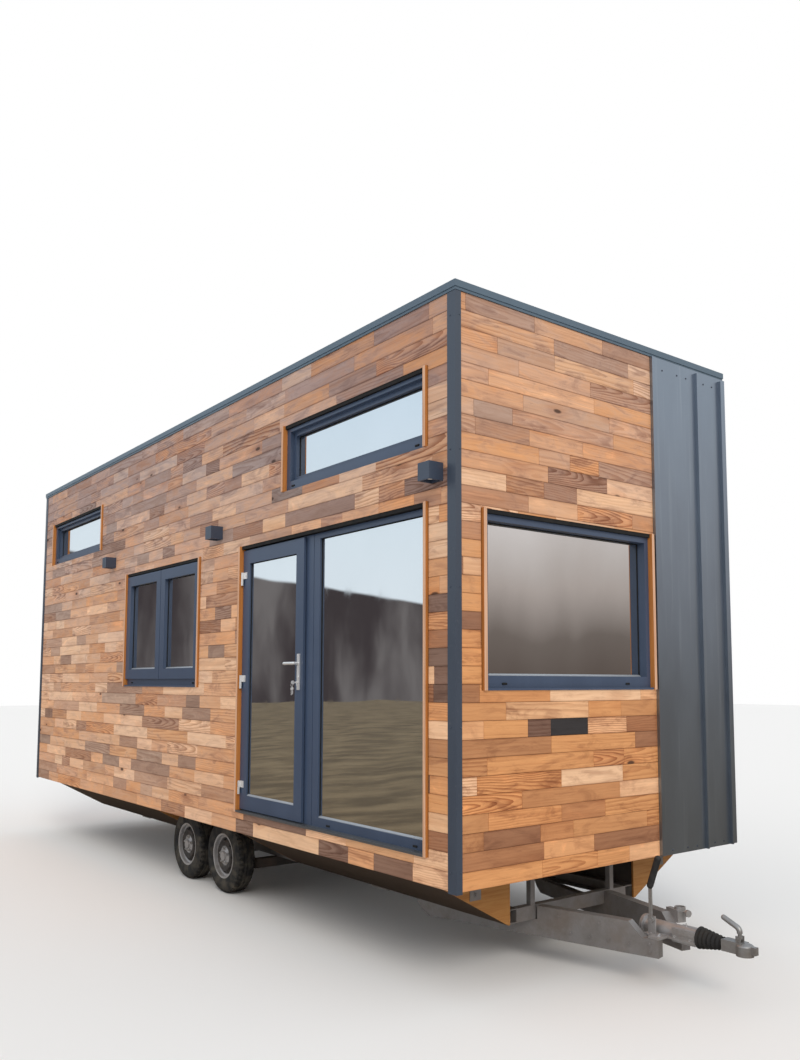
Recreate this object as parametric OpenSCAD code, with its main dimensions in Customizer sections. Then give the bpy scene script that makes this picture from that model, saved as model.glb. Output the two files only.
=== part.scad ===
// A small timber-clad house on a two-axle road trailer.
// The door side faces -Y and the drawbar points along +X. The wheels stand on z = 0.

/* [Body] */
// Length of the house over its cladding
body_l = 7400; // [6000:10:8400]
// Width of the house over its cladding
body_w = 2500; // [2300:10:2550]
// Height of the cladding, from its lower edge to the roof edge
wall_h = 3236; // [3100:2:3300]
// Height of the cladding's lower edge above the ground
clear = 595; // [585:1:700]
// Thickness of the walls with their cladding
wall_t = 150; // [130:1:200]
// Thickness of the floor
floor_t = 130; // [100:1:140]
// Gap between the cladding's lower edge and the floor's underside
floor_up = 6; // [0:1:8]

/* [Roof] */
// Thickness of the roof between the walls
roof_t = 140; // [100:1:200]
// Thickness of the deck that lies on top of the walls
deck_t = 20; // [15:1:25]
// Thickness of the sheet on the deck
sheet_t = 6; // [4:1:8]
// Height of the edge trim
edge_h = 55; // [50:1:60]
// Reach of the upper fold of the edge trim beyond the cladding
edge_out = 12; // [10:1:24]
// Reach of the lower fold of the edge trim beyond the cladding
edge_step = 7; // [5:1:9]
// Width of the edge trim on top of the roof
edge_in = 60; // [30:1:90]

/* [Metal cladding] */
// Distance from the door side to the metal on the end walls
metal_from = 1690; // [1690:5:1900]
// Thickness of the metal pans with their battens
metal_t = 16; // [12:1:20]
// Height of a standing seam above the pan
seam_h = 22; // [18:1:26]
// Width of a standing seam
seam_w = 12; // [8:1:16]
// Distance between the standing seams
seam_pitch = 465; // [400:5:520]
// Width of the folded edge where the metal meets the boards
fold_w = 30; // [20:1:40]

/* [Corner trim] */
// Reach of a corner trim along the long side
corner_side = 65; // [40:1:80]
// Reach of a corner trim along the end wall
corner_end = 38; // [30:1:80]
// Thickness of a corner trim outside the boards
corner_t = 4; // [3:0.5:5]
// Length of the corner trim below the cladding's lower edge
corner_drop = 10; // [0:1:15]

/* [Door] */
// Distance from the front to the door opening
door_u = 240; // [200:5:400]
// Width of the door opening
door_w = 2235; // [2200:5:2300]
// Height of the door opening's lower edge above the cladding's lower edge
door_v = 148; // [146:1:160]
// Height of the door opening
door_h = 1947; // [1900:1:2000]
// Distance from the door opening's front edge to the middle of the mullion
mullion_u = 1251; // [1200:1:1300]
// Width of the mullion on the fixed light's side
mullion_w = 73; // [60:1:80]
// Depth of the door frame's face behind the cladding
door_set = 40; // [35:1:50]
// Width of the frame bars of the door and its fixed light
jamb_w = 60; // [50:1:60]
// Height of the frame's lower bar
sill_bar = 72; // [60:1:80]
// Depth of the side light's glass behind its frame's face
light_set = 18; // [12:1:40]
// Depth of the leaf's glass behind the leaf's face
leaf_set = 16; // [12:1:36]
// Width and depth of the joint in the mullion
joint_w = 5; // [3:0.5:8]
// Gap between the leaf's flange and the mullion's middle
leaf_side = 92; // [80:1:100]
// Gap between the leaf's flange and the frame's face
face_gap = 6; // [5:0.5:8]
// Overlap of the leaf's flange on the frame
lap = 14; // [10:1:18]
// Thickness of the leaf's flange
flange_t = 17; // [12:1:20]
// Running gap round the leaf
run_gap = 12; // [11:1:14]
// Depth of the leaf behind its flange
leaf_d = 65; // [50:1:68]
// Width of the leaf's stiles and rails
stile_w = 100; // [90:1:110]
// Radius of a hinge knuckle
knuckle_r = 9; // [7:1:9]
// Length of one hinge knuckle
knuckle_l = 48; // [30:1:60]
// Height of the lever's axis above the opening's lower edge
lever_v = 1066; // [1000:1:1100]
// Length of the lever
lever_l = 125; // [100:1:140]

/* [Windows] */
// Width of the boards round the openings, seen from outside
board_w = 24; // [18:1:28]
// Reach of those boards beyond the cladding
board_out = 15; // [8:1:20]
// Depth of the dark head strips behind the cladding
head_set = 3; // [1:0.5:8]
// Thickness of the sills
sill_t = 12; // [8:1:14]
// Reach of the sills beyond the cladding
sill_out = 8; // [4:1:20]
// Width of a window's frame bars
bar_w = 60; // [50:1:70]
// Height of a window's lower frame bar
low_bar = 80; // [70:1:90]
// Depth of a window frame's face behind the cladding
frame_set = 20; // [14:1:28]
// Depth of the frames' inner face behind the cladding
frame_back = 125; // [115:1:130]
// Depth of the glass in a fixed window
pane_set = 80; // [70:1:90]
// Thickness of the double glazing
pane_t = 24; // [20:1:28]
// Width of the upright frame bars of the upper windows
upper_side = 69; // [60:1:76]
// Height of the lower frame bar of the upper windows
upper_low = 66; // [60:1:80]
// Height of the upper frame bar of the upper windows
upper_top = 48; // [40:1:60]
// Width of the sash bars inside the upper windows' frames
inner_w = 30; // [20:1:34]
// Distance from the front to the front upper window
high_u = 245; // [160:5:300]
// Distance from the rear to the rear upper window
small_rear = 320; // [160:5:600]
// Width of the upper windows
high_w = 1610; // [1200:5:1700]
// Height of the upper windows' lower edge
high_v = 2410; // [2300:5:2450]
// Height of the upper windows
high_h = 465; // [400:5:500]
// Distance from the front to the double casement
case_u = 3155; // [3100:5:3300]
// Width of the double casement
case_w = 1610; // [1400:5:1700]
// Height of the double casement
case_h = 1048; // [900:2:1060]
// Height of the casement's and the front window's lower edge
case_v = 1046; // [1000:2:1100]
// Depth of the casement's frame behind the cladding
case_set = 25; // [20:1:30]
// Width of the casement's stiles and rails
case_stile = 88; // [70:1:100]
// Thickness of the casement's leaves outside their frame
case_lap = 22; // [16:1:22]
// Distance from the door side to the front window
front_u = 190; // [150:5:250]
// Width of the front window
front_w = 1490; // [1300:5:1500]
// Height of the front window
front_h = 1001; // [900:1:1060]

/* [Lamps] */
// Side of a cube lamp
lamp_s = 100; // [90:1:130]
// Wall thickness of a lamp
lamp_wall = 8; // [4:1:10]
// Height of the lamps' lower face
lamp_v = 2188; // [2150:2:2260]
// Distance from the front to the front lamp
lamp_front = 104; // [60:2:160]
// Distance from the front to the middle lamp
lamp_mid = 2768; // [2600:2:2900]
// Distance from the front to the rear lamp
lamp_rear = 5058; // [4900:2:5200]

/* [Chassis] */
// Distance from the cladding to the chassis, on each side
rail_in = 670; // [600:5:720]
// Width of a chassis rail
rail_w = 80; // [60:1:90]
// Height of a chassis rail
rail_h = 82; // [60:1:90]
// Height of the floor bearers on the rails
bearer_h = 248; // [220:1:260]
// Wall thickness of the rails and beams
steel_t = 5; // [4:0.5:8]
// Distance from the cladding's front to the chassis' front
chassis_in = 330; // [300:5:400]
// Distance from the cladding's rear to the chassis' rear
chassis_rear = 300; // [200:5:500]
// Distance from the front to the front jacking pads
pad_u = 1500; // [1350:10:2200]
// Distance from the rear to the rear jacking pads
pad_rear = 1500; // [600:10:2200]
// Length of a jacking pad
pad_l = 200; // [120:5:260]
// Thickness of a jacking pad
pad_t = 8; // [5:0.5:12]
// Number of cross members
cross_n = 7; // [4:1:9]
// Width of a cross member
cross_w = 50; // [40:1:60]
// Width of the posts on the front cross member
post_w = 36; // [30:1:45]
// Distance of a post from the chassis' side
post_in = 200; // [150:5:260]
// Thickness of the sloping side sheets and the gussets
board_t = 15; // [10:1:20]
// Distance from the cladding to the upper edge of a side sheet
sheet_in = 70; // [40:1:100]

/* [Wheels] */
// Radius of a tyre
tyre_r = 290; // [285:1:300]
// Width of a tyre
tyre_w = 165; // [150:1:175]
// Radius of the rim's edge
rim_r = 176; // [165:1:185]
// Distance from the cladding to the outer face of the tyres
wheel_in = 250; // [230:1:280]
// Distance from the front to the middle between the axles
axle_u = 3528; // [3400:1:3700]
// Distance between the axles
axle_pitch = 686; // [640:1:760]
// Length of the wheel bay in the side sheets
bay_l = 1640; // [1450:10:1700]
// Length of a swing arm
arm_l = 150; // [120:1:170]
// Side of the square axle tube
tube_w = 70; // [50:1:80]
// Radius of a brake drum
drum_r = 100; // [90:1:120]
// Width of a brake drum
drum_w = 56; // [45:1:65]
// Radius of a stub axle
stub_r = 20; // [16:1:25]
// Thickness of a swing arm
arm_t = 20; // [14:1:24]

/* [Drawbar] */
// Angle of the drawbar beams to the trailer's length
bar_angle = 15.2; // [13:0.1:17]
// Thickness of a drawbar beam
bar_t = 60; // [50:1:70]
// Height of a lower drawbar beam
low_h = 98; // [80:1:110]
// Height of an upper drawbar beam
up_h = 80; // [70:1:82]
// Length of a lower beam behind the cladding's front
low_back = 1226; // [1000:2:1400]
// Length of a lower beam before the cladding's front
low_front = 435; // [400:5:450]
// Length of an upper beam before the cladding's front
up_front = 330; // [280:5:340]

/* [Coupling] */
// Distance from the cladding's front to the coupling's nose
reach = 931; // [900:1:960]
// Height of the coupling's axis below the cladding's lower edge
coupling_low = 300; // [290:1:320]
// Width of the overrun housing
housing_w = 110; // [100:1:130]
// Radius of the bellows at its largest
bellows_r = 60; // [50:1:66]
// Number of folds in the bellows
bellows_n = 6; // [4:1:8]
// Radius of the coupling grip
grip_r = 15; // [11:0.5:17]
// Radius of the handbrake lever's grip
lever_r = 19; // [14:0.5:20]
// Radius of the tow shaft
shaft_r = 25; // [20:1:28]
// Radius of the ball socket
socket_r = 25; // [24:0.5:26]
// Height of the jockey wheel's clamp
clamp_h = 84; // [70:1:100]
// Length of the clamp's foot on the beam
clamp_l = 75; // [50:5:100]
// Length of the handbrake lever's rod
brake_rod = 190; // [160:5:220]
// Length of the handbrake lever's grip
brake_grip = 165; // [140:5:180]
// Forward lean of the handbrake lever's grip
brake_lean = 20; // [10:1:25]

/* [Hidden] */
$fn = 48;

metal_out = metal_t + seam_h;
x_front = (body_l + metal_out - reach) / 2;
x_rear = x_front - body_l;
y_near = lamp_s - (body_w + lamp_s + metal_out) / 2;
y_far = y_near + body_w;
mid = body_w / 2;
cut = 1;
hair = 0.3;
anthracite = "#3a4048";
clad_wood = "#b07a4e";
zinc = "#a9adb0";

door_open = [door_u, door_v, door_w, door_h];
high_open = [high_u, high_v, high_w, high_h];
small_open = [body_l - small_rear - high_w, high_v, high_w, high_h];
case_open = [case_u, case_v, case_w, case_h];
front_open = [front_u, case_v, front_w, front_h];
upper_bars = [upper_side, upper_low, upper_top];

// The leaf's flange, the hole for the leaf in the frame, and the leaf's body, each as u, v, w, h.
flange = [
    door_u + mullion_u + leaf_side, door_v + 22,
    door_w - mullion_u - leaf_side - board_w - 5, door_h - 22 - board_w - 11
];
leaf_hole = inset(flange, lap);
leaf_body = inset(flange, lap + run_gap);
flange_y = door_set - face_gap - flange_t;
hinge_u = door_u + door_w - board_w - knuckle_r - 6;
hinge_y = flange_y - knuckle_r - 5;
hinge_v = [door_v + 177, door_v + door_h / 2 - 32, door_v + door_h - 245];
lever_u = flange[0] + stile_w / 2;

hub_z = tyre_r - clear;
bay_u = [axle_u - bay_l / 2, axle_u + bay_l / 2];
rail_z = -bearer_h - rail_h;
rail_l = body_l - chassis_in - chassis_rear;
axle_us = [axle_u - axle_pitch / 2, axle_u + axle_pitch / 2];
low_z = rail_z - low_h;
bar_out = mid - rail_in - low_back * sin(bar_angle);
foot_out = bar_out - 345 * tan(bar_angle) - 20;
foot_in = bar_out - up_front * tan(bar_angle) - bar_t / cos(bar_angle) - 2;
shaft_z = -coupling_low;
housing_x = [220, 592];
bellows_x = [592, 735];
head_x = reach - 70;
foot_t = 12;
brake_x = 325;
brake_y = mid - 85;
brake_z = rail_z + foot_t + 73;
brake_boss_w = 12;
pin_r = 5;
grip_w = 24;
disc_y = 66;
grip_pivot = [reach - 98, shaft_z + 48];

function inset(r, d) = [r[0] + d, r[1] + d, r[2] - 2 * d, r[3] - 2 * d];

// Places its children by their distance behind the front, inward from the door side,
// and above the cladding's lower edge.
module door_side()
    translate([x_front, y_near, clear]) mirror([1, 0, 0]) children();

// Places its children by their distance from the door side, inward from the front.
module front_side()
    translate([x_front, y_near, clear]) rotate([0, 0, 90]) children();

// The same for the far side, from the front.
module far_side()
    translate([x_front, y_far, clear]) rotate([0, 0, 180]) children();

// The same for the rear, from the door side.
module rear_side()
    translate([x_rear, y_near, clear]) mirror([1, 0, 0]) rotate([0, 0, 90]) children();

// Places its children before the front, inward from the door side, above the cladding's edge.
module under()
    translate([x_front, y_near, clear]) children();

// Repeats its children on the far side of the trailer's middle.
module both_sides() {
    children();
    translate([0, body_w, 0]) mirror([0, 1, 0]) children();
}

// A flat slab r = [u, v, w, h] from depth y0 to depth y1.
module slab(r, y0, y1)
    translate([r[0], y0, r[1]]) cube([r[2], y1 - y0, r[3]]);

// A wall slab with its openings cut through.
module wall(r, openings)
    difference() {
        slab(r, 0, wall_t);
        for (o = openings) slab(o, -cut, wall_t + cut);
    }

// A flat ring: slab r less its inside, with bars of the given widths.
module ring(r, y0, y1, side, low, top)
    difference() {
        slab(r, y0, y1);
        slab([r[0] + side, r[1] + low, r[2] - 2 * side, r[3] - low - top], y0 - cut, y1 + cut);
    }

module door_wall_rear()
    color(clad_wood) door_side()
        wall([door_u + door_w, 0, body_l - wall_t - door_u - door_w, wall_h], [case_open, small_open]);

module door_wall_over_door()
    color(clad_wood) door_side()
        wall([door_u, door_v + door_h, door_w, wall_h - door_v - door_h], [high_open]);

module door_wall_front()
    color(clad_wood) door_side() wall([wall_t, 0, door_u - wall_t, wall_h], []);

module door_wall_sill()
    color(clad_wood) door_side() wall([door_u, 0, door_w, door_v], []);

module front_wall()
    color(clad_wood) front_side() wall([0, 0, body_w, wall_h], [front_open]);

module rear_wall()
    color(clad_wood) rear_side() wall([0, 0, body_w, wall_h], []);

module far_wall()
    color(anthracite) far_side()
        wall([wall_t, 0, body_l - 2 * wall_t, wall_h], [high_open, small_open]);

module floor()
    color("#6b5138") door_side()
        translate([wall_t, wall_t, floor_up])
            cube([body_l - 2 * wall_t, body_w - 2 * wall_t, floor_t]);

module roof()
    color("#8b7355") door_side() {
        translate([wall_t, wall_t, wall_h - roof_t])
            cube([body_l - 2 * wall_t, body_w - 2 * wall_t, roof_t]);
        translate([0, 0, wall_h]) cube([body_l, body_w, deck_t]);
    }

// The roof's sheet with standing seams from side to side.
module roof_sheet() {
    seams = floor((body_l - 2 * edge_in) / seam_pitch);
    pitch = (body_l - 2 * edge_in) / seams;
    color(anthracite) door_side() translate([0, 0, wall_h + deck_t]) {
        cube([body_l, body_w, sheet_t]);
        for (i = [1:seams - 1])
            translate([edge_in + i * pitch - seam_w / 2, edge_in, 0])
                cube([seam_w, body_w - 2 * edge_in, edge_h - deck_t - 2]);
    }
}

// A folded trim all round the roof's edge, with an upper and a lower step.
module roof_edge() {
    under_z = wall_h + deck_t + sheet_t;
    step_z = wall_h + edge_h * 0.3;
    color(anthracite) door_side()
        difference() {
            union() {
                translate([-edge_step, -edge_step, wall_h])
                    cube([body_l + 2 * edge_step, body_w + 2 * edge_step, edge_h]);
                translate([-edge_out, -edge_out, step_z])
                    cube([body_l + 2 * edge_out, body_w + 2 * edge_out, wall_h + edge_h - step_z]);
            }
            translate([0, 0, wall_h - cut]) cube([body_l, body_w, under_z - wall_h + cut]);
            translate([edge_in, edge_in, wall_h])
                cube([body_l - 2 * edge_in, body_w - 2 * edge_in, edge_h + cut]);
        }
}

// An angle round one door-side corner, drawn at the front corner.
module corner_angle()
    translate([0, 0, -corner_drop]) linear_extrude(wall_h + corner_drop)
        difference() {
            translate([-corner_t, -corner_t])
                square([corner_side + corner_t, corner_end + corner_t]);
            square([corner_side + cut, corner_end + cut]);
        }

module corner_trims()
    color(anthracite) {
        door_side() corner_angle();
        translate([x_rear, y_near, clear]) corner_angle();
    }

// The metal pans on an end wall, with the folded edge, the seams and the corner.
module metal_end() {
    width = body_w - metal_from;
    slab([metal_from, 0, width, wall_h], -metal_t, 0);
    slab([metal_from, 0, fold_w, wall_h], -metal_t - 4, -metal_t);
    for (u = [metal_from + seam_pitch, body_w - corner_side])
        slab([u, 0, seam_w, wall_h - seam_h], -metal_out, -metal_t);
}

module metal_front() color(anthracite) front_side() metal_end();

module metal_rear() color(anthracite) rear_side() metal_end();

// The metal pans on the far side. Each seam stops at a window.
module metal_far() {
    seams = floor(body_l / seam_pitch);
    pitch = body_l / seams;
    color(anthracite) far_side()
        difference() {
            union() {
                slab([-metal_t, 0, body_l + 2 * metal_t, wall_h], -metal_t, 0);
                for (i = [1:seams - 1])
                    slab([i * pitch - seam_w / 2, 0, seam_w, wall_h - seam_h], -metal_out, -metal_t);
            }
            for (o = [high_open, small_open]) slab(o, -metal_out - cut, cut);
        }
}

// The frame round the door and its fixed light.
module door_frame()
    color(anthracite) door_side()
        difference() {
            slab(door_open, door_set, frame_back);
            slab(leaf_hole, door_set - cut, frame_back + cut);
            slab(light_hole(), door_set - cut, frame_back + cut);
            slab([door_u + mullion_u - joint_w / 2, door_v - cut, joint_w, door_h + 2 * cut],
                door_set - cut, door_set + joint_w);
        }

function light_hole() = [
    door_u + jamb_w, door_v + sill_bar,
    mullion_u - mullion_w - jamb_w, door_h - sill_bar - jamb_w
];

module door_threshold()
    color(zinc) door_side()
        slab([door_u + board_w, door_v, door_w - 2 * board_w, 14], -board_out, door_set);

module side_light_glass()
    color("#9fb4bd", 0.4) door_side()
        slab(light_hole(), door_set + light_set, door_set + light_set + pane_t);

// The leaf: a flange that laps the frame, and the body inside the frame.
module door_leaf() {
    hole = inset(flange, stile_w);
    color(anthracite) door_side()
        difference() {
            union() {
                slab(flange, flange_y, flange_y + flange_t);
                slab(leaf_body, flange_y + flange_t, flange_y + flange_t + leaf_d);
            }
            slab(hole, flange_y - cut, flange_y + flange_t + leaf_d + cut);
        }
}

module door_glass()
    color("#9fb4bd", 0.4) door_side()
        slab(inset(flange, stile_w), flange_y + leaf_set, flange_y + leaf_set + pane_t);

// The leaf's hinge halves: an upper knuckle and a wing on the leaf's face.
module door_hinges()
    color("silver") door_side()
        for (v = hinge_v) {
            translate([hinge_u, hinge_y, v]) cylinder(r = knuckle_r, h = knuckle_l);
            translate([hinge_u - 50, flange_y - 5, v]) cube([50, 5, knuckle_l]);
            translate([hinge_u - knuckle_r, hinge_y, v])
                cube([knuckle_r, flange_y - hinge_y, knuckle_l]);
        }

// The frame's hinge halves: a lower knuckle with a foot on the opening's board.
module hinge_brackets()
    color("silver") door_side()
        for (v = hinge_v) {
            translate([hinge_u, hinge_y, v - hair - knuckle_l])
                cylinder(r = knuckle_r, h = knuckle_l);
            translate([hinge_u, hinge_y - 4, v - hair - knuckle_l])
                cube([knuckle_r + 6, 8, knuckle_l]);
        }

module handle_plate()
    color("silver") door_side() {
        slab([lever_u - 15, door_v + lever_v - 178, 30, 242], flange_y - 8, flange_y);
        translate([lever_u, flange_y - 8, door_v + lever_v - 92])
            rotate([90, 0, 0]) cylinder(r = 9, h = 4);
    }

// The lever points away from the lock side, towards the hinges.
module door_lever()
    color("silver") door_side()
        translate([lever_u, flange_y - 8 - hair, door_v + lever_v]) {
            rotate([90, 0, 0]) cylinder(r = 10, h = 34);
            translate([0, -34, 0]) rotate([0, 90, 0]) cylinder(r = 10, h = lever_l);
            translate([0, -34, 0]) sphere(r = 10);
            translate([lever_l, -34, 0]) sphere(r = 10);
        }

// The hole in a frame with bars b = [side, low, top], and its glass inside the sash bars.
function hole_of(o, b) = [o[0] + b[0], o[1] + b[1], o[2] - 2 * b[0], o[3] - b[1] - b[2]];

function upper_glass(o) = inset(hole_of(o, upper_bars), inner_w);

// An upper window: the frame, and the sash bars further in.
module upper_window(o) {
    ring(o, frame_set, frame_back, upper_side, upper_low, upper_top);
    ring(hole_of(o, upper_bars), pane_set - 30, frame_back, inner_w, inner_w, inner_w);
}

module high_window() color(anthracite) door_side() upper_window(high_open);

module small_window() color(anthracite) door_side() upper_window(small_open);

// A narrow sill in front of a window's lower bar.
module sill(o, set)
    slab([o[0] + board_w, o[1], o[2] - 2 * board_w, sill_t], -sill_out, set);

module front_window()
    color(anthracite) front_side() {
        ring(front_open, frame_set, frame_back, bar_w, low_bar, bar_w);
        sill(front_open, frame_set);
    }

module far_windows()
    color(anthracite) far_side() {
        upper_window(high_open);
        upper_window(small_open);
    }

// The two leaves of the casement, each as u, v, w, h.
case_mid = case_u + case_w / 2;
case_half = case_w / 2 - board_w - 4;
case_sashes = [
    [case_u + board_w, case_v + 68, case_half, case_h - 68 - board_w - 8],
    [case_mid + 4, case_v + 68, case_half, case_h - 68 - board_w - 8]
];

module kitchen_window()
    color(anthracite) door_side() {
        difference() {
            slab(case_open, case_set, frame_back);
            for (s = case_sashes) slab(inset(s, 20), case_set - cut, frame_back + cut);
        }
        for (s = case_sashes) {
            ring(s, case_set - case_lap, case_set, case_stile, case_stile, case_stile);
            ring(inset(s, 20), case_set, case_set + 60,
                case_stile - 20, case_stile - 20, case_stile - 20);
        }
        sill(case_open, case_set);
    }

// All window panes: solids that fill the frames' holes.
module window_glass()
    color("#9fb4bd", 0.4) {
        door_side() {
            for (o = [high_open, small_open])
                slab(upper_glass(o), pane_set, pane_set + pane_t);
            for (s = case_sashes)
                slab(inset(s, case_stile), case_set + 13, case_set + 13 + pane_t);
        }
        front_side()
            slab(hole_of(front_open, [bar_w, low_bar, bar_w]), pane_set, pane_set + pane_t);
        far_side() for (o = [high_open, small_open])
            slab(upper_glass(o), pane_set, pane_set + pane_t);
    }

// The upright boards on both sides of an opening, and the dark strip under its head.
module side_boards(o, set, out)
    for (u = [o[0], o[0] + o[2] - board_w])
        slab([u, o[1], board_w, o[3]], -out, set);

module head_strip(o, set)
    slab([o[0] + board_w, o[1] + o[3] - board_w, o[2] - 2 * board_w, board_w], head_set, set);

module opening_boards()
    color("#c98545") {
        door_side() {
            side_boards(door_open, door_set, board_out);
            side_boards(high_open, frame_set, board_out);
            side_boards(small_open, frame_set, board_out);
            side_boards(case_open, case_set, board_out);
        }
        front_side() side_boards(front_open, frame_set, board_out);
        far_side() {
            side_boards(high_open, frame_set, metal_t + board_out);
            side_boards(small_open, frame_set, metal_t + board_out);
        }
    }

module head_strips()
    color("#1c1d1f") {
        door_side() {
            head_strip(door_open, door_set);
            head_strip(high_open, frame_set);
            head_strip(small_open, frame_set);
            head_strip(case_open, case_set);
        }
        front_side() head_strip(front_open, frame_set);
        far_side() {
            head_strip(high_open, frame_set);
            head_strip(small_open, frame_set);
        }
    }

// Cube lamps that shine up and down, each hollow above and below its middle plate.
module wall_lamps()
    color(anthracite) door_side()
        for (u = [lamp_front, lamp_mid, lamp_rear])
            translate([u, -lamp_s, lamp_v])
                difference() {
                    cube(lamp_s);
                    for (z = [-cut, lamp_s * 0.75])
                        translate([lamp_wall, lamp_wall, z])
                            cube([lamp_s - 2 * lamp_wall, lamp_s - 2 * lamp_wall, lamp_s * 0.25 + cut]);
                }

// A channel along the length: web on the outside, flanges inward.
module rail(h)
    difference() {
        cube([rail_l, rail_w, h]);
        translate([-cut, steel_t, steel_t])
            cube([rail_l + 2 * cut, rail_w, h - 2 * steel_t]);
    }

// The lower rails, with the pads that a jack or a stand goes under.
module chassis_rails()
    color(zinc) under() both_sides() {
        translate([-chassis_in - rail_l, rail_in, rail_z]) rail(rail_h);
        for (x = [-pad_u - pad_l, pad_rear - body_l])
            translate([x, rail_in, rail_z - pad_t]) cube([pad_l, rail_w, pad_t]);
    }

module floor_bearers()
    color("#3f4143") under() both_sides()
        translate([-chassis_in - rail_l, rail_in, -bearer_h]) rail(bearer_h + floor_up);

// Box sections between the rails, the first one flush with the chassis' front.
module cross_members() {
    pitch = (rail_l - cross_w) / (cross_n - 1);
    length = body_w - 2 * rail_in - 2 * rail_w;
    color(zinc) under()
        for (i = [0:cross_n - 1])
            translate([-chassis_in - cross_w - i * pitch, rail_in + rail_w, rail_z])
                cube([cross_w, length, rail_h]);
}

module front_posts()
    color(zinc) under() both_sides()
        translate([-chassis_in - post_w, rail_in + post_in, rail_z + rail_h])
            cube([post_w, post_w, bearer_h + floor_up]);

// Sloping sheets from the walls' lower edge in to the rails, open at the wheel bay.
module side_sheets() {
    runs = [[chassis_in, bay_u[0]], [bay_u[1], chassis_in + rail_l]];
    color("#4a4d50") under() both_sides()
        for (r = runs)
            translate([-r[1], 0, 0]) rotate([90, 0, 90]) linear_extrude(r[1] - r[0])
                polygon([
                    [sheet_in, 0], [sheet_in + board_t * 2, 0],
                    [rail_in, rail_z + board_t], [rail_in, rail_z]
                ]);
}

// A plywood triangle under the slope, its upright edge lip mm past the chassis' side.
module gusset(x, lip)
    translate([x, 0, 0]) rotate([90, 0, 90]) linear_extrude(board_t)
        polygon([[sheet_in, 0], [rail_in, rail_z], [rail_in + lip, rail_z], [rail_in + lip, 0]]);

// The triangles at both ends of the chassis and at both ends of the wheel bay.
module gussets()
    color("#c9a06a") under() both_sides() {
        for (x = [-chassis_in, -chassis_in - rail_l - board_t]) gusset(x, 14);
        for (x = [-bay_u[0] - board_t, -bay_u[1]]) gusset(x, 0);
    }

// A beam seen from the side: x along the beam from the cladding's front, bevelled ends.
module beam_web(t)
    rotate([90, 0, 0]) translate([0, 0, -t]) linear_extrude(t)
        polygon([
            [-low_back, rail_z], [-low_back + 45, rail_z - low_h * 0.62],
            [-low_back + 100, low_z], [low_front, low_z],
            [low_front, rail_z], [up_front + 10, rail_z],
            [up_front + 10 - up_h, rail_z + up_h],
            [-chassis_in + 6, rail_z + up_h], [-chassis_in + 6, rail_z]
        ]);

// The two beams of the drawbar with the plates that close them in front.
module drawbar_beams()
    color(zinc) under() both_sides()
        translate([0, mid - bar_out, 0]) rotate([0, 0, bar_angle]) {
            beam_web(steel_t);
            translate([0, bar_t - steel_t, 0]) beam_web(steel_t);
            translate([-chassis_in + 6, 0, rail_z + up_h - steel_t])
                cube([chassis_in + up_front + 4 - up_h, bar_t, steel_t]);
            translate([-low_back + 100, 0, low_z])
                cube([low_back - 100 + low_front, bar_t, steel_t]);
            translate([-low_back, 0, rail_z - steel_t])
                cube([low_back + low_front, bar_t, steel_t]);
            translate([low_front - steel_t, 0, low_z]) cube([steel_t, bar_t, low_h]);
            translate([up_front + 10, bar_t, rail_z]) rotate([90, 0, 0]) linear_extrude(bar_t)
                polygon([
                    [0, 0], [-up_h, up_h], [-up_h - 2 * steel_t, up_h], [-2 * steel_t, 0]
                ]);
        }

// An axle: a square tube under the rails, swing arms, brake drums and stub axles.
module axle(u) {
    tube_z = rail_z - tube_w;
    arm_y = wheel_in + tyre_w + 3 * arm_t;
    hub_y = wheel_in + disc_y + hair;
    translate([-u + arm_l - tube_w / 2, arm_y, tube_z])
        cube([tube_w, body_w - 2 * arm_y, tube_w]);
    both_sides() {
        hull() {
            translate([-u + arm_l, arm_y - arm_t, tube_z + tube_w / 2])
                rotate([-90, 0, 0]) cylinder(r = 2 * stub_r, h = arm_t);
            translate([-u, arm_y - arm_t, hub_z])
                rotate([-90, 0, 0]) cylinder(r = 1.5 * stub_r, h = arm_t);
        }
        translate([-u, hub_y, hub_z]) rotate([-90, 0, 0]) {
            cylinder(r = drum_r, h = drum_w);
            cylinder(r = stub_r, h = arm_y - arm_t - hub_y);
        }
    }
}

module axles() color("#55585b") under() for (u = axle_us) axle(u);

// A tyre with its rounded shoulders, its axis along Y and its outer face at y = 0.
module tyre()
    color("#232323") rotate([-90, 0, 0])
        rotate_extrude($fn = 72)
            polygon([
                [rim_r, 12], [rim_r + 45, 0], [tyre_r - 40, 4], [tyre_r - 14, 14],
                [tyre_r, 34], [tyre_r, tyre_w - 34], [tyre_r - 14, tyre_w - 14],
                [tyre_r - 40, tyre_w - 4], [rim_r + 45, tyre_w], [rim_r, tyre_w - 12]
            ]);

// A pressed steel rim with a domed disc, a hub cap and ventilation holes.
module rim()
    color(zinc) difference() {
        rotate([-90, 0, 0]) rotate_extrude($fn = 72)
            polygon([
                [0, 6], [34, 6], [38, 22], [70, 30], [118, 22], [140, 44],
                [rim_r - 16, 40], [rim_r - 14, 14], [rim_r, 12], [rim_r, tyre_w - 12],
                [rim_r - 14, tyre_w - 12], [rim_r - 16, disc_y - 4], [118, disc_y], [0, disc_y]
            ]);
        for (a = [0:45:315])
            rotate([0, a, 0]) translate([128, -cut, 0]) rotate([-90, 0, 0])
                cylinder(r = 11, h = 100, $fn = 20);
    }

// Places a wheel by its axle's number and its side.
module at_wheel(i, far)
    under() translate([0, far ? body_w : 0, 0]) mirror([0, far ? 1 : 0, 0])
        translate([-axle_us[i], wheel_in, hub_z]) children();

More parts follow.
